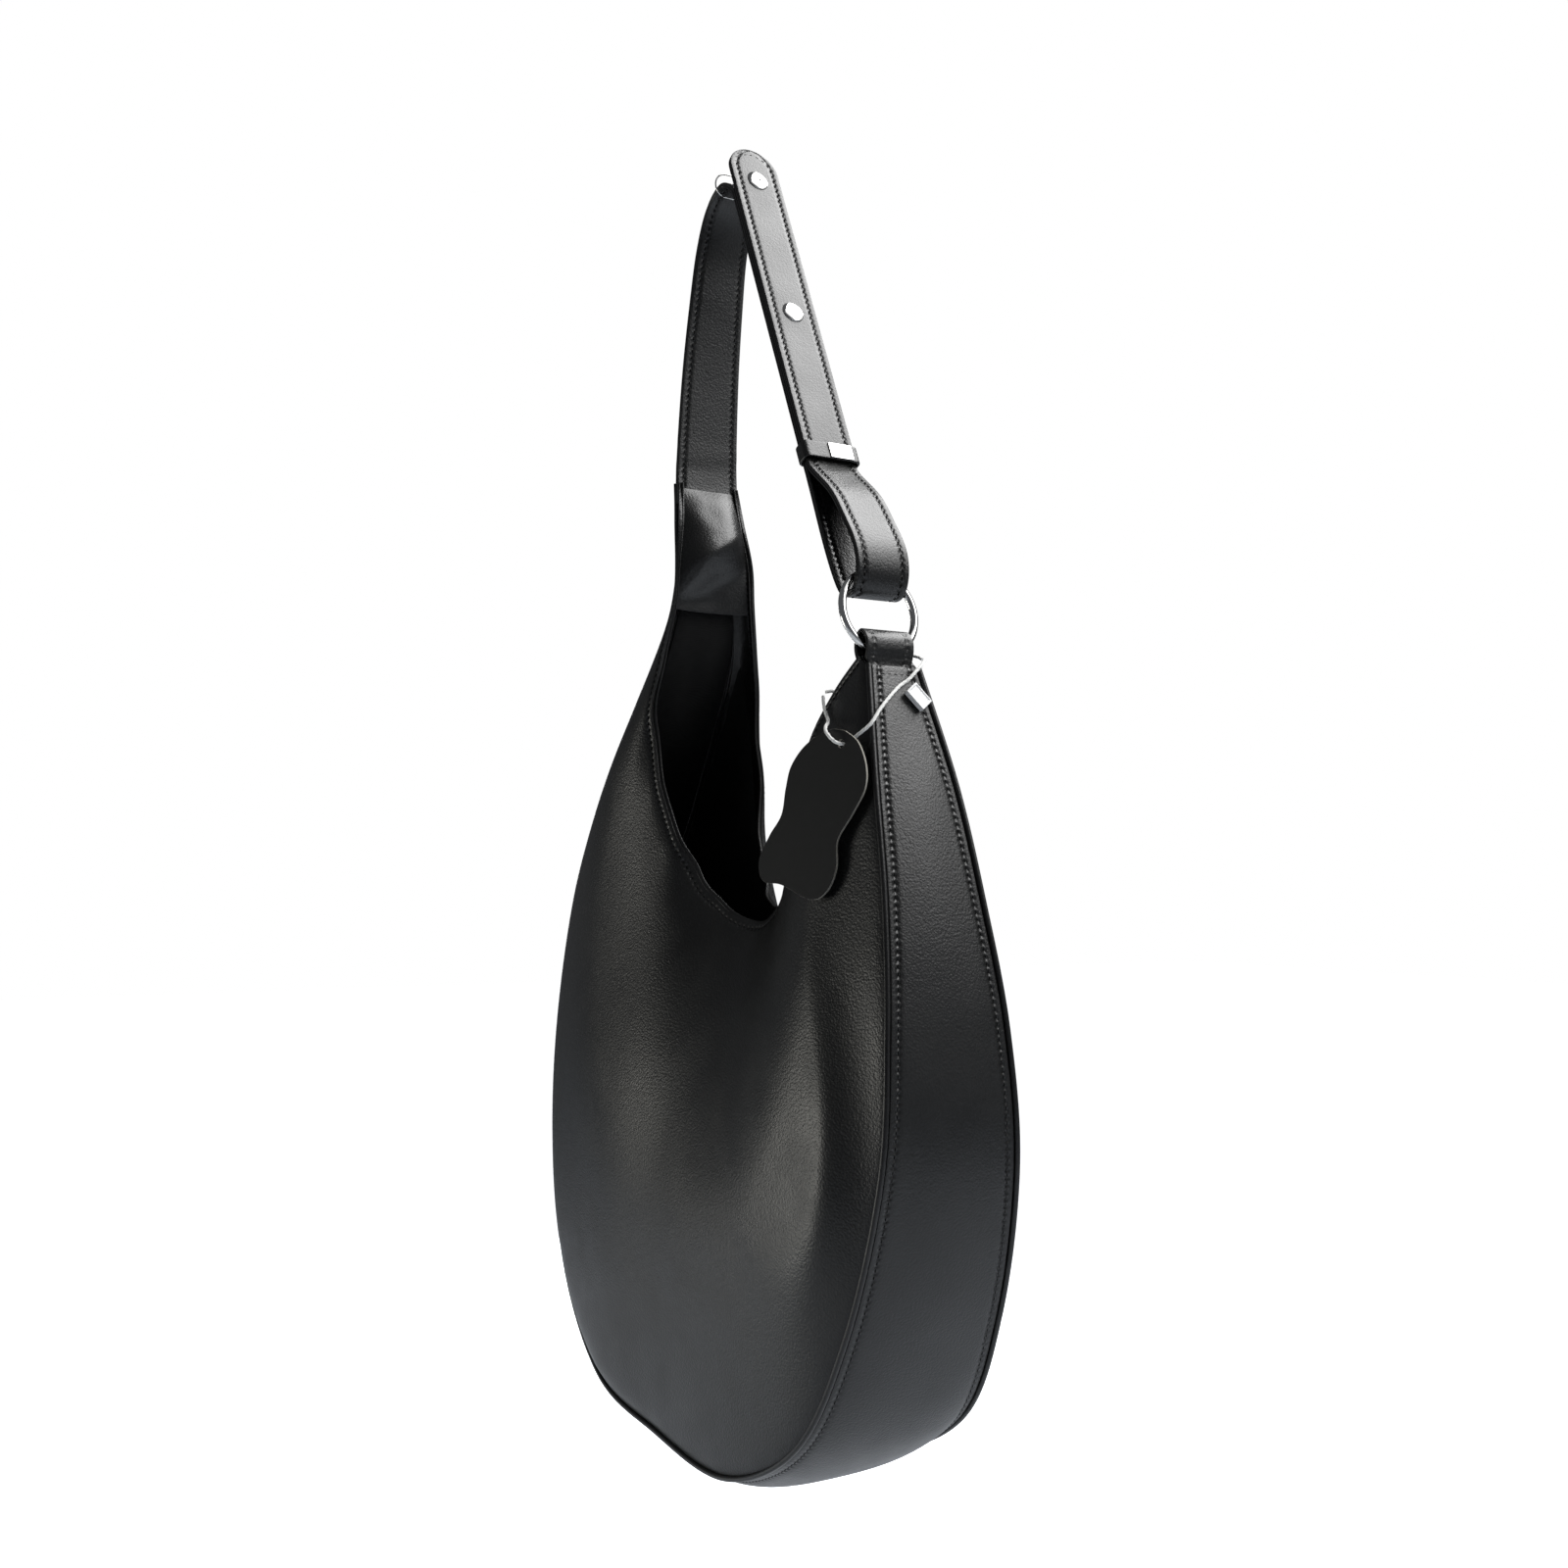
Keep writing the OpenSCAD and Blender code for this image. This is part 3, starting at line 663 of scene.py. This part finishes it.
def hang_tag():
    """The tag's cut outline, with the hole, filled and bevelled as a flat curve and made a mesh."""
    flat = bpy.data.curves.new("hang_tag", "CURVE")
    flat.dimensions = "2D"
    flat.fill_mode = "BOTH"
    flat.extrude = 0.55 * MM
    flat.bevel_depth = 0.15 * MM
    flat.bevel_resolution = 2
    last = len(TAG_OUTLINE) - 1
    rim = [along(TAG_OUTLINE, last * k / 140) for k in range(140)]
    hole = [Vector((2.2 * math.cos(a), 2.2 * math.sin(a))) for a in (2 * math.pi * k / 24 for k in range(24))]
    for loop in (rim, hole):
        spline = flat.splines.new("POLY")
        spline.points.add(len(loop) - 1)
        spline.use_cyclic_u = True
        for p, q in zip(spline.points, loop):
            p.co = (q.x * MM, q.y * MM, 0, 1)
    drawn = bpy.data.objects.new("hang_tag_outline", flat)
    bpy.context.scene.collection.objects.link(drawn)
    bpy.context.view_layer.update()
    mesh = bpy.data.meshes.new_from_object(drawn.evaluated_get(bpy.context.evaluated_depsgraph_get()))
    bpy.data.objects.remove(drawn)
    bm = bmesh.new()
    bm.from_mesh(mesh)
    bpy.data.meshes.remove(mesh)
    bmesh.ops.remove_doubles(bm, verts=bm.verts, dist=1e-7)
    bmesh.ops.recalc_face_normals(bm, faces=bm.faces)
    for f in bm.faces:
        f.smooth = False
        f.material_index = 0 if abs(f.normal.z) > 0.8 else 1
    lean = Matrix.Rotation(math.radians(20), 4, "Z") @ Matrix.Rotation(math.radians(-4), 4, "X")
    stand = Matrix.Rotation(math.radians(90), 4, "X")
    bmesh.ops.transform(bm, matrix=Matrix.Translation(at(17, -32, 380.5)) @ lean @ stand, verts=bm.verts)
    return rides(new_piece("hang_tag_leather", bm, TAG_FACE, TAG_EDGE), "tag", "tag_leather", "hang_tag")


hang_tag()
seal = string_seal()
string_piece("string_round_tab", TAB_LOOP, "bag", "string_cord", "string_loop")
string_piece("string_to_tag", TAG_LOOP, "tag", "string_cord", "tag_string")


# ------------------------------------------------------------------ panels, side band and piping
def edge_share(side, inset):
    """Share of a panel's width that lies inset mm from the mouth's edge, as a function of u."""
    return lambda u: inset / panel_ends(u, side)[2]


def body_panel(name, side, node):
    row = edge_share(side, STITCH_INSET)
    steps, lengths = measured(lambda u: panel(u, row(u), side), 0, LAST)

    def point(a, b):
        u = LAST * a
        v = b ** 1.15
        width = panel_ends(u, side)[2]
        pull = 0.55 * math.exp(-((v * width - STITCH_INSET) / 1.6) ** 2)
        return panel(u, v, side, pull), read_across(steps, lengths, u), v * width

    obj = grid(name, 260, 64, point, SHELL, away=lambda c: Vector((0, side, 0)))
    thicken(obj, LEATHER_T, 0.6)
    return over_neck(obj, "shell_leather", node)


def band_piece():
    steps, lengths = measured(lambda u: band(u, 0.9), 0, LAST)

    def point(a, b):
        u, w = LAST * a, 2 * b - 1
        near = (1 - abs(w)) * (seam(u).z - LEATHER_T)
        pull = 0.35 * math.exp(-((near - STITCH_INSET) / 1.4) ** 2)
        return band(u, w, pull), read_across(steps, lengths, u), near

    middle = at(-120, 0, 230)
    obj = grid("side_band_leather", 260, 44, point, SHELL,
               away=lambda c: Vector((c.x - middle.x, 0, c.z - middle.z)))
    thicken(obj, LEATHER_T, 0.5)
    return over_neck(obj, "shell_leather", "gusset")


def piping(name, side, node):
    def line(t):
        s, n = seam(LAST * t), outward(LAST * t)
        return Vector((s.x - 0.3 * n.x, side * (s.z + 0.1), s.y - 0.3 * n.y))

    return over_neck(tube(name, line, 300, 1.5, 12, PIPING), "piping_leather", node)


def facing(name, side, node):
    """Leather turned inside the mouth: the second of the two edges that the mouth shows."""
    row = edge_share(side, STITCH_INSET)
    steps, lengths = measured(lambda u: panel(u, row(u), side), 0, LAST)

    def point(a, b):
        u = LAST * a
        width = panel_ends(u, side)[2]
        near = b * min(26, 0.86 * width)
        pull = 0.3 * math.exp(-((near - STITCH_INSET) / 1.6) ** 2)
        p = panel(u, near / width, side, LEATHER_T + FACING_T + 0.35 - pull)
        return p, read_across(steps, lengths, u), near

    obj = grid(name, 240, 16, point, FACING, away=lambda c: Vector((0, -side, 0)))
    thicken(obj, FACING_T, 0.45)
    return over_neck(obj, "facing_leather", node)


def panel_lining(name, side, node):
    """Loose lining behind a panel, with slack folds."""
    def point(a, b):
        u = 1.0 + 12.6 * a
        width = panel_ends(u, side)[2]
        start = min(24, 0.8 * width) / width
        v = start + (0.97 - start) * b
        p = panel(u, v, side, LEATHER_T + 0.8)
        slack = 2.2 * math.sin(math.pi * b)
        fold = ripple((p.x * 1.6, 0, p.z * 0.5), 30, 11.0 + side)
        p.y -= side * slack * (1.1 + fold)
        return p, 0.0, 20.0

    obj = grid(name, 130, 34, point, LINING, away=lambda c: Vector((0, -side, 0)))
    thicken(obj, 0.5, 0.2)
    return rides(obj, "bag", "lining_cloth", node)


def band_lining():
    def point(a, b):
        u, w = 1.0 + 13.9 * a, 2 * b - 1
        s = seam(u)
        near_neck = ease(u, 13.4, 15)
        slack = 2.6 + 1.6 * (1 - w * w) * (1 + ripple((s.x, 60 * w, s.y), 35, 2.0))
        p = band(u, w, slack + 1.5 * near_neck, 3.2 - 1.5 * near_neck)
        return p, 0.0, 20.0

    middle = at(-120, 0, 230)
    obj = grid("side_band_lining", 130, 16, point, LINING,
               away=lambda c: Vector((middle.x - c.x, 0, middle.z - c.z)))
    thicken(obj, 0.5, 0.2)
    return rides(obj, "bag", "lining_cloth", "gusset_lining")


def neck_inner():
    """Leather that closes the inside of the neck. The strap's weight folds it out into a crease."""
    def point(a, b):
        u = 13.85 + (LAST - 0.2 - 13.85) * a
        w = 2 * b - 1
        m = mouth(u, -1)
        half = m.z - 2.4
        fold = 511 + 11 * w
        out = ease(m.y, fold - 26, fold) if m.y < fold else 1 - ((m.y - fold) / (546 - fold)) ** 1.3
        shelf = 13 * max(out, 0.0) * (1 - abs(w) ** 2.6)
        hollow = 4 * (1 - ease(m.y, 478, fold - 12)) * (1 - w * w)
        crinkle = 0.9 * ripple((0, half * w * 0.7, m.y), 11, 4.4) * (1 - w * w)
        return Vector((m.x - 1.6 - hollow + shelf + crinkle, half * w, m.y)), 0.0, 20.0

    obj = grid("neck_inner_leather", 70, 44, point, FACING, away=lambda c: Vector((1, 0, 0)))
    thicken(obj, FACING_T, 0.4)
    return over_neck(obj, "facing_leather", "neck_facing")


def body_stitches():
    """Rows along the side band's two edges and along the mouth, and a short one across the band's top."""
    places = []
    for sign in (-1, 1):
        across = lambda u: sign * (1 - STITCH_INSET / (seam(u).z - LEATHER_T))
        length = measured(lambda u: band(u, across(u)), 0.12, LAST - 0.1)
        places += stitch_row(lambda u, w: band(min(max(u, 0), LAST), w, 0.3), length, across, 1)
        share = edge_share(sign, STITCH_INSET)
        length = measured(lambda u: panel(u, share(u), sign), 0.1, LAST - 0.1)
        inside = LEATHER_T + FACING_T + 0.15
        places += stitch_row(lambda u, v: panel(u, v, sign, 0.5), length, share, sign)
        places += stitch_row(lambda u, v: panel(u, v, sign, inside), length, share, -sign)
    top = 0.12
    for k in range(-3, 4):
        p = band(top, k * STITCH_PITCH / (seam(top).z - LEATHER_T), 0.2)
        places.append(stitch(p, Vector((0, 1, 0)), Vector((outward(top).x, 0, outward(top).y))))
    return over_neck(sewn("body_topstitching", places), "piping_leather")


body_panel("front_panel_leather", -1, "front_panel")
body_panel("back_panel_leather", 1, "back_panel")
band_piece()
piping("front_seam_piping", -1, "front_piping")
piping("back_seam_piping", 1, "back_piping")
facing("front_mouth_facing", -1, "front_facing")
facing("back_mouth_facing", 1, "back_facing")
panel_lining("front_panel_lining", -1, "front_lining")
panel_lining("back_panel_lining", 1, "back_lining")
band_lining()
neck_inner()
body_stitches()


# ------------------------------------------------------------------ strap and tail
INNER = -STRAP_T * 1.5 - 0.3
OUTER = -STRAP_T / 2
STRAP_PATH = (
    [(-184, 537), (-185, 560), (-181, 605), (-172, 655), (-165, 682), (-155, 700), (-140, 707), (-127, 701)]
    + [tuple(run_xz(INNER, up)) for up in (172, 120, 60, 10, -20)]
    + [(-26, 483), (-15, 463), (-8, 457), (0, 458.5), (3.5, 468), (1, 480), (-9, 495), (-22, 511)]
    + [tuple(run_xz(OUTER, up)) for up in (-10, 0)]
)
SHEATH = 1.42                          # thickness of one leather of the strap


def strap_line(t):
    return along(STRAP_PATH, t * (len(STRAP_PATH) - 1))


def strap_half(p):
    """Half of the strap's width: it widens down the left run to the neck."""
    return STRAP_W / 2 + (5 * (max(0.0, 700 - p.y) / 160) ** 0.8 if p.x < -150 else 0.0)


def strap_wobble(run, a):
    """Slight waves along the left run, fainter where the keeper slides, and creases above the neck."""
    wave = (0.35 - 0.27 * ease(run, 150, 200)) * ripple((run, a * 0.4, 0), 42, 6.0)
    creases = 0.35 * math.exp(-((run - 24) / 16) ** 2) * ripple((run, a * 0.15, 0), 5, 1.0)
    return wave + creases


def strap_leather(name, low, high, node):
    obj = ribbon(name, strap_line, 240,
                 lambda t: rounded_section(strap_half(strap_line(t)), low, high, 0.55, 0.06, 0.28),
                 STRAP, strap_wobble)
    return rides(obj, "strap", "strap_leather", node)


def strap_core():
    obj = ribbon("strap_edge_core", strap_line, 240,
                 lambda t: rounded_section(strap_half(strap_line(t)) - 0.35, -0.3, 0.3, 0.2), EDGE_PAINT,
                 strap_wobble)
    return rides(obj, "strap", "strap_core_felt", "strap_core")


def tail_half(up, margin=0.0):
    """Half of the tail's width, which ends in a half round."""
    past = max(0.0, up - (TAIL_TIP - STRAP_W / 2))
    half = STRAP_W / 2 - margin
    return math.sqrt(max(half**2 - min(past, half) ** 2, 0.16))


def tail_up(t):
    """Up the tail at t, with its steps closer together towards the round tip."""
    body = 0.72
    if t < body:
        return (TAIL_TIP - STRAP_W / 2) * t / body
    turn = math.pi / 2 * (t - body) / (1 - body)
    return TAIL_TIP - STRAP_W / 2 + STRAP_W / 2 * math.sin(turn) * 0.999


def tail_leather(name, depth, node):
    """depth is the middle of this leather behind the tail's face."""
    def line(t):
        return run_xz(-depth, tail_up(t))

    def section(t):
        half = tail_half(tail_up(t))
        return scaled_section(half, -SHEATH / 2, SHEATH / 2)

    return ribbon(name, line, 150, section, STRAP, lambda run, a: 0.08 * ripple((run, a * 0.4, 9), 40, 2.0))


def scaled_section(half, low, high):
    """A full-width section squeezed to a smaller half width, so that every ring has equal points."""
    full = rounded_section(STRAP_W / 2, low, high, 0.55, 0.06, 0.28)
    return [(a * half / (STRAP_W / 2), h) for a, h in full]


def tail():
    face = tail_leather("tail_face_leather", SHEATH / 2, "tail_face")
    back = tail_leather("tail_back_leather", STRAP_T - SHEATH / 2, "tail_backing")
    over_flex(face, "strap_leather", "tail_face")
    over_flex(back, "strap_leather", "tail_backing")
    core = ribbon("tail_edge_core", lambda t: run_xz(-STRAP_T / 2, tail_up(t)), 150,
                  lambda t: [(a * max(tail_half(tail_up(t)) - 0.35, 0.2) / (STRAP_W / 2), h)
                             for a, h in rounded_section(STRAP_W / 2, -0.3, 0.3, 0.2)], EDGE_PAINT)
    over_flex(core, "strap_core_felt", "tail_core")


def strap_stitches():
    """Rows down both edges of both strap faces, and round the tail."""
    fixed = []
    steps, lengths = measured(lambda t: Vector((*strap_line(t), 0)), 0.012, 0.999)
    count = int(lengths[-1] / STITCH_PITCH)
    for k in range(count):
        t = read_across(lengths, steps, (k + 0.5) * STITCH_PITCH)
        p = strap_line(t)
        d = (strap_line(min(t + 0.002, 1)) - strap_line(max(t - 0.002, 0))).normalized()
        normal = Vector((-d.y, 0, d.x))
        run = read_across(steps, lengths, t)
        inset = strap_half(p) - STITCH_INSET
        for side in (-1, 1):
            for face in (-1, 1):
                h = face * (STRAP_T / 2 - 0.22) + strap_wobble(run, inset)
                spot = Vector((p.x, side * inset, p.y)) + normal * h
                fixed.append(stitch(spot, Vector((d.x, 0, d.y)), normal * face))
    rides(sewn("strap_topstitching", fixed), "strap", "piping_leather")

    moving = []
    half = STRAP_W / 2 - STITCH_INSET
    straight = TAIL_TIP - STRAP_W / 2
    legs = int(straight / STITCH_PITCH)
    arc = int(math.pi * half / STITCH_PITCH)
    spots = [(side * half, (k + 0.5) * straight / legs, 0, 1) for side in (-1, 1) for k in range(legs)]
    for k in range(arc):
        turn = math.pi * (k + 0.5) / arc
        cosine, sine = math.cos(turn), math.sin(turn)
        spots.append((half * cosine, straight + half * sine, -sine, cosine))
    face_normal = run_point(1, 0, 0) - run_point(0, 0, 0)
    up = run_point(0, 0, 1) - run_point(0, 0, 0)
    for y, height, dy, dz in spots:
        for face, depth in ((1, -0.16), (-1, -STRAP_T + 0.16)):
            direction = Vector((0, dy, 0)) + up * dz
            moving.append(stitch(run_point(depth, y, height), direction, face_normal * face))
    over_flex(sewn("tail_topstitching", moving), "piping_leather")


strap_leather("strap_inner_leather", -STRAP_T / 2, -STRAP_T / 2 + SHEATH, "strap_face")
strap_leather("strap_outer_leather", STRAP_T / 2 - SHEATH, STRAP_T / 2, "strap_backing")
strap_core()
tail()
strap_stitches()


# ------------------------------------------------------------------ hardware
def turned(bm, profile, matrix, segments=64):
    """Spins a profile of (radius, height) pairs, in mm, into a closed turned part."""
    verts = [bm.verts.new((r * MM, 0, h * MM)) for r, h in profile]
    edges = [bm.edges.new(pair) for pair in zip(verts, verts[1:])]
    made = bmesh.ops.spin(bm, geom=verts + edges, cent=(0, 0, 0), axis=(0, 0, 1), angle=2 * math.pi,
                          steps=segments, use_merge=True, use_duplicate=False)
    every = list({v for v in bm.verts if v.is_valid and not v.tag})
    bmesh.ops.transform(bm, matrix=matrix, verts=every)
    for v in every:
        v.tag = True
    return made


def run_matrix(across, up):
    """Places a part on the doubled run with its Z axis out of the tail's face."""
    return Matrix.Translation(at(*run_point(across, 0, up))) @ Matrix.Rotation(math.pi / 2 - RUN_LEAN, 4, "Y")


def finish_metal(name, bm, sharp=35):
    bmesh.ops.remove_doubles(bm, verts=bm.verts, dist=2e-6)
    bmesh.ops.recalc_face_normals(bm, faces=bm.faces)
    for f in bm.faces:
        f.smooth = True
    for e in bm.edges:
        e.smooth = len(e.link_faces) == 2 and e.calc_face_angle(0) < math.radians(sharp)
    return new_piece(name, bm, NICKEL)


def snap_caps():
    """Low domed caps with a dimple, each on its post through the leather."""
    bm = bmesh.new()
    dome = [(0.0, 0.95), (0.5, 0.97), (0.95, 1.12), (1.25, 1.28), (1.6, 1.34), (2.4, 1.33), (3.4, 1.25),
            (4.4, 1.08), (5.2, 0.86), (5.8, 0.6), (6.15, 0.36), (6.25, 0.18), (6.15, 0.04), (5.8, 0.0),
            (2.1, 0.0), (2.1, -1.7), (0.0, -1.7)]
    for up in SNAPS:
        turned(bm, dome, run_matrix(0.12, up))
    return rides(finish_metal("snap_cap_domes", bm), "tail", "plated_metal", "snap_caps")


def ring():
    """The O-ring: one round wire with its welded joint dressed smooth."""
    bm = bmesh.new()
    bmesh.ops.create_circle(bm, segments=28, radius=RING_WIRE * MM,
                            matrix=Matrix.Translation((RING_R * MM, 0, 0))
                            @ Matrix.Rotation(math.pi / 2, 4, "X"))
    bmesh.ops.spin(bm, geom=bm.verts[:] + bm.edges[:], cent=(0, 0, 0), axis=(0, 0, 1), angle=2 * math.pi,
                   steps=160, use_merge=True, use_duplicate=False)
    stand = Matrix.Translation(at(RING[0], 0, RING[1])) @ Matrix.Rotation(math.pi / 2 - RING_LEAN, 4, "Y")
    bmesh.ops.transform(bm, matrix=stand, verts=bm.verts)
    return rides(finish_metal("o_ring_wire", bm, 80), "ring", "plated_metal", "o_ring")


def keeper():
    """Leather loop round both runs, its overlap sewn at the back, and the bright plate on its face."""
    inner_x, inner_y = STRAP_T + 0.7, STRAP_W / 2 + 0.45
    corner = 2.2
    wall = 1.3

    def loop_line(t):
        """A rounded rectangle about the two runs, as across and y."""
        hx, hy = inner_x + wall / 2, inner_y + wall / 2
        straight = [2 * (hy - corner), 2 * (hx - corner)]
        bend = math.pi / 2 * corner
        s = (t % 1) * (2 * sum(straight) + 4 * bend)
        for face in range(4):
            long = straight[face % 2]
            turn = math.pi / 2 * face
            start = [(hx, -(hy - corner)), (hx - corner, hy), (-hx, hy - corner), (-(hx - corner), -hy)][face]
            go = (-math.sin(turn), math.cos(turn))
            if s <= long:
                return Vector((start[0] + go[0] * s, start[1] + go[1] * s)), turn
            s -= long
            pivot = [(hx - corner, hy - corner), (-(hx - corner), hy - corner),
                     (-(hx - corner), -(hy - corner)), (hx - corner, -(hy - corner))][face]
            if s <= bend:
                a = turn + s / corner
                return Vector((pivot[0] + corner * math.cos(a), pivot[1] + corner * math.sin(a))), a
            s -= bend
        return Vector((hx, -(hy - corner))), 0.0

    section = rounded_section(KEEPER_H / 2, -wall / 2, wall / 2, 0.5)
    around = len(section)
    count = 120

    def point(a, b):
        p, turn = loop_line(round(a * count) / count)
        up, h = section[round(b * around) % around]
        across = p.x + h * math.cos(turn) - STRAP_T - 0.1
        return run_point(across, p.y + h * math.sin(turn), up), a * 90, 20.0

    obj = grid("keeper_leather_loop", count, around, point, STRAP, wrap=True)
    rides(obj, "keeper", "strap_leather", "keeper_loop")
    bm = bmesh.new()
    bmesh.ops.create_cube(bm, size=1)
    bmesh.ops.scale(bm, vec=Vector((KEEPER_H - 0.8, 14, 0.9)) * MM, verts=bm.verts)
    bmesh.ops.bevel(bm, geom=bm.edges[:], offset=0.3 * MM, segments=3, profile=0.5, affect="EDGES",
                    material=-1)
    bmesh.ops.transform(bm, matrix=run_matrix(2.2, 0) @ Matrix.Translation((0, 5 * MM, 0)), verts=bm.verts)
    rides(finish_metal("keeper_bright_plate", bm, 40), "keeper", "plated_metal", "keeper_plate")


def ring_tab():
    """Strip folded over the ring, with both legs sewn under the top of the side band."""
    path = [(14.8, 405), (9.6, 418), (9.2, 424), (10.2, 429), (9.2, 434), (4.6, 437.6), (0.2, 434.5),
            (-0.4, 428), (2.6, 422), (6.6, 417), (12.5, 404)]
    last = len(path) - 1

    def line(t):
        return along(path, t * last)

    def half(p):
        return 11 + 2.5 * ease(p.y, 417, 425)

    halves = ((-1.0, -0.04, "ring_tab_inner"), (0.04, 1.0, "ring_tab_outer"))
    for low, high, name in halves:
        obj = ribbon(name, line, 90, lambda t: rounded_section(half(line(t)), low, high, 0.42), STRAP)
        rides(obj, "bag", "strap_leather", "ring_tab")


snap_caps()
ring()
keeper()
ring_tab()

# ------------------------------------------------------------------ CAD nodes that show as they are
KEPT = {"base_stiffener": BOARD, "stud_rivets": NICKEL, "snap_studs": NICKEL, "snap_sockets": NICKEL,
        "hanging_ring": NICKEL}
for node_name, finish in KEPT.items():
    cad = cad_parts[node_name]
    cad.data.materials.clear()
    cad.data.materials.append(finish)


# ------------------------------------------------------------------ stage and light
def make_floor():
    bm = bmesh.new()
    bmesh.ops.create_grid(bm, x_segments=1, y_segments=1, size=9)
    bmesh.ops.translate(bm, vec=(0, 0, -1.05), verts=bm.verts)
    # Matte white paint, overexposed to plain white where the camera sees it.
    paint = speckled("floor_matte_paint", "#E0E6EE", "#E7ECF3", 0.9, 40.0, 0.01)
    tree = paint.node_tree
    seen = add(tree, "ShaderNodeLightPath").outputs["Is Camera Ray"]
    shader = tree.nodes["Principled BSDF"]
    shader.inputs["Emission Color"].default_value = srgb("#FFFFFF")
    tree.links.new(seen, shader.inputs["Emission Strength"])
    new_piece("floor", bm, paint)


def softbox(name, place, target, size, radiance, tint="#FFFFFF"):
    """An area light whose face has this radiance."""
    data = bpy.data.lights.new(name, "AREA")
    data.shape = "RECTANGLE"
    data.size, data.size_y = size
    data.energy = radiance * math.pi * size[0] * size[1]
    data.color = srgb(tint)[:3]
    obj = bpy.data.objects.new(name, data)
    bpy.context.scene.collection.objects.link(obj)
    obj.location = place
    obj.rotation_euler = (Vector(target) - Vector(place)).to_track_quat("-Z", "Y").to_euler()
    return obj


def make_world():
    """A dim room with a pale wall at the back right, which the camera itself sees as plain white."""
    world = bpy.data.worlds.new("pale_room")
    bpy.context.scene.world = world
    world.use_nodes = True
    tree = world.node_tree
    tree.nodes.clear()
    look = add(tree, "ShaderNodeTexCoord").outputs["Generated"]
    toward = add(tree, "ShaderNodeVectorMath", {0: look, 1: (0.87, 0.48, -0.12)}, operation="DOT_PRODUCT")
    wall = add(tree, "ShaderNodeMapRange", {"Value": toward.outputs["Value"], "From Min": 0.75,
                                            "From Max": 1.0, "To Min": 0.1, "To Max": 0.42},
               interpolation_type="SMOOTHSTEP")
    room = add(tree, "ShaderNodeBackground", {"Color": srgb("#F4F8FF"), "Strength": wall.outputs["Result"]})
    sight = add(tree, "ShaderNodeBackground", {"Color": srgb("#FFFFFF"), "Strength": 1.0})
    path = add(tree, "ShaderNodeLightPath")
    pick = add(tree, "ShaderNodeMixShader", {0: path.outputs["Is Camera Ray"], 1: room.outputs[0],
                                             2: sight.outputs[0]})
    add(tree, "ShaderNodeOutputWorld", {"Surface": pick.outputs[0]})


make_floor()
make_world()
softbox("overhead_softbox", (0.36, 0.8, 1.15), (0.05, 0.0, -0.13), (1.75, 1.0), 7.4)
softbox("right_softbox", (1.25, 0.95, 0.6), (0.15, 0.0, -0.35), (0.75, 0.75), 3.5)
softbox("left_softbox", (-1.08, -1.64, -0.68), (-0.1, 0.0, -0.5), (0.7, 0.7), 5.0, "#FFFDF4")
softbox("rim_softbox", (-1.95, 0.72, -0.45), (-0.2, 0.0, -0.45), (0.4, 1.1), 7.0)
softbox("floor_light", (0.6, 0.6, 0.4), (0.3, 0.3, -1.05), (1.2, 1.2), 1.0)
bpy.context.scene.view_settings.view_transform = "Standard"
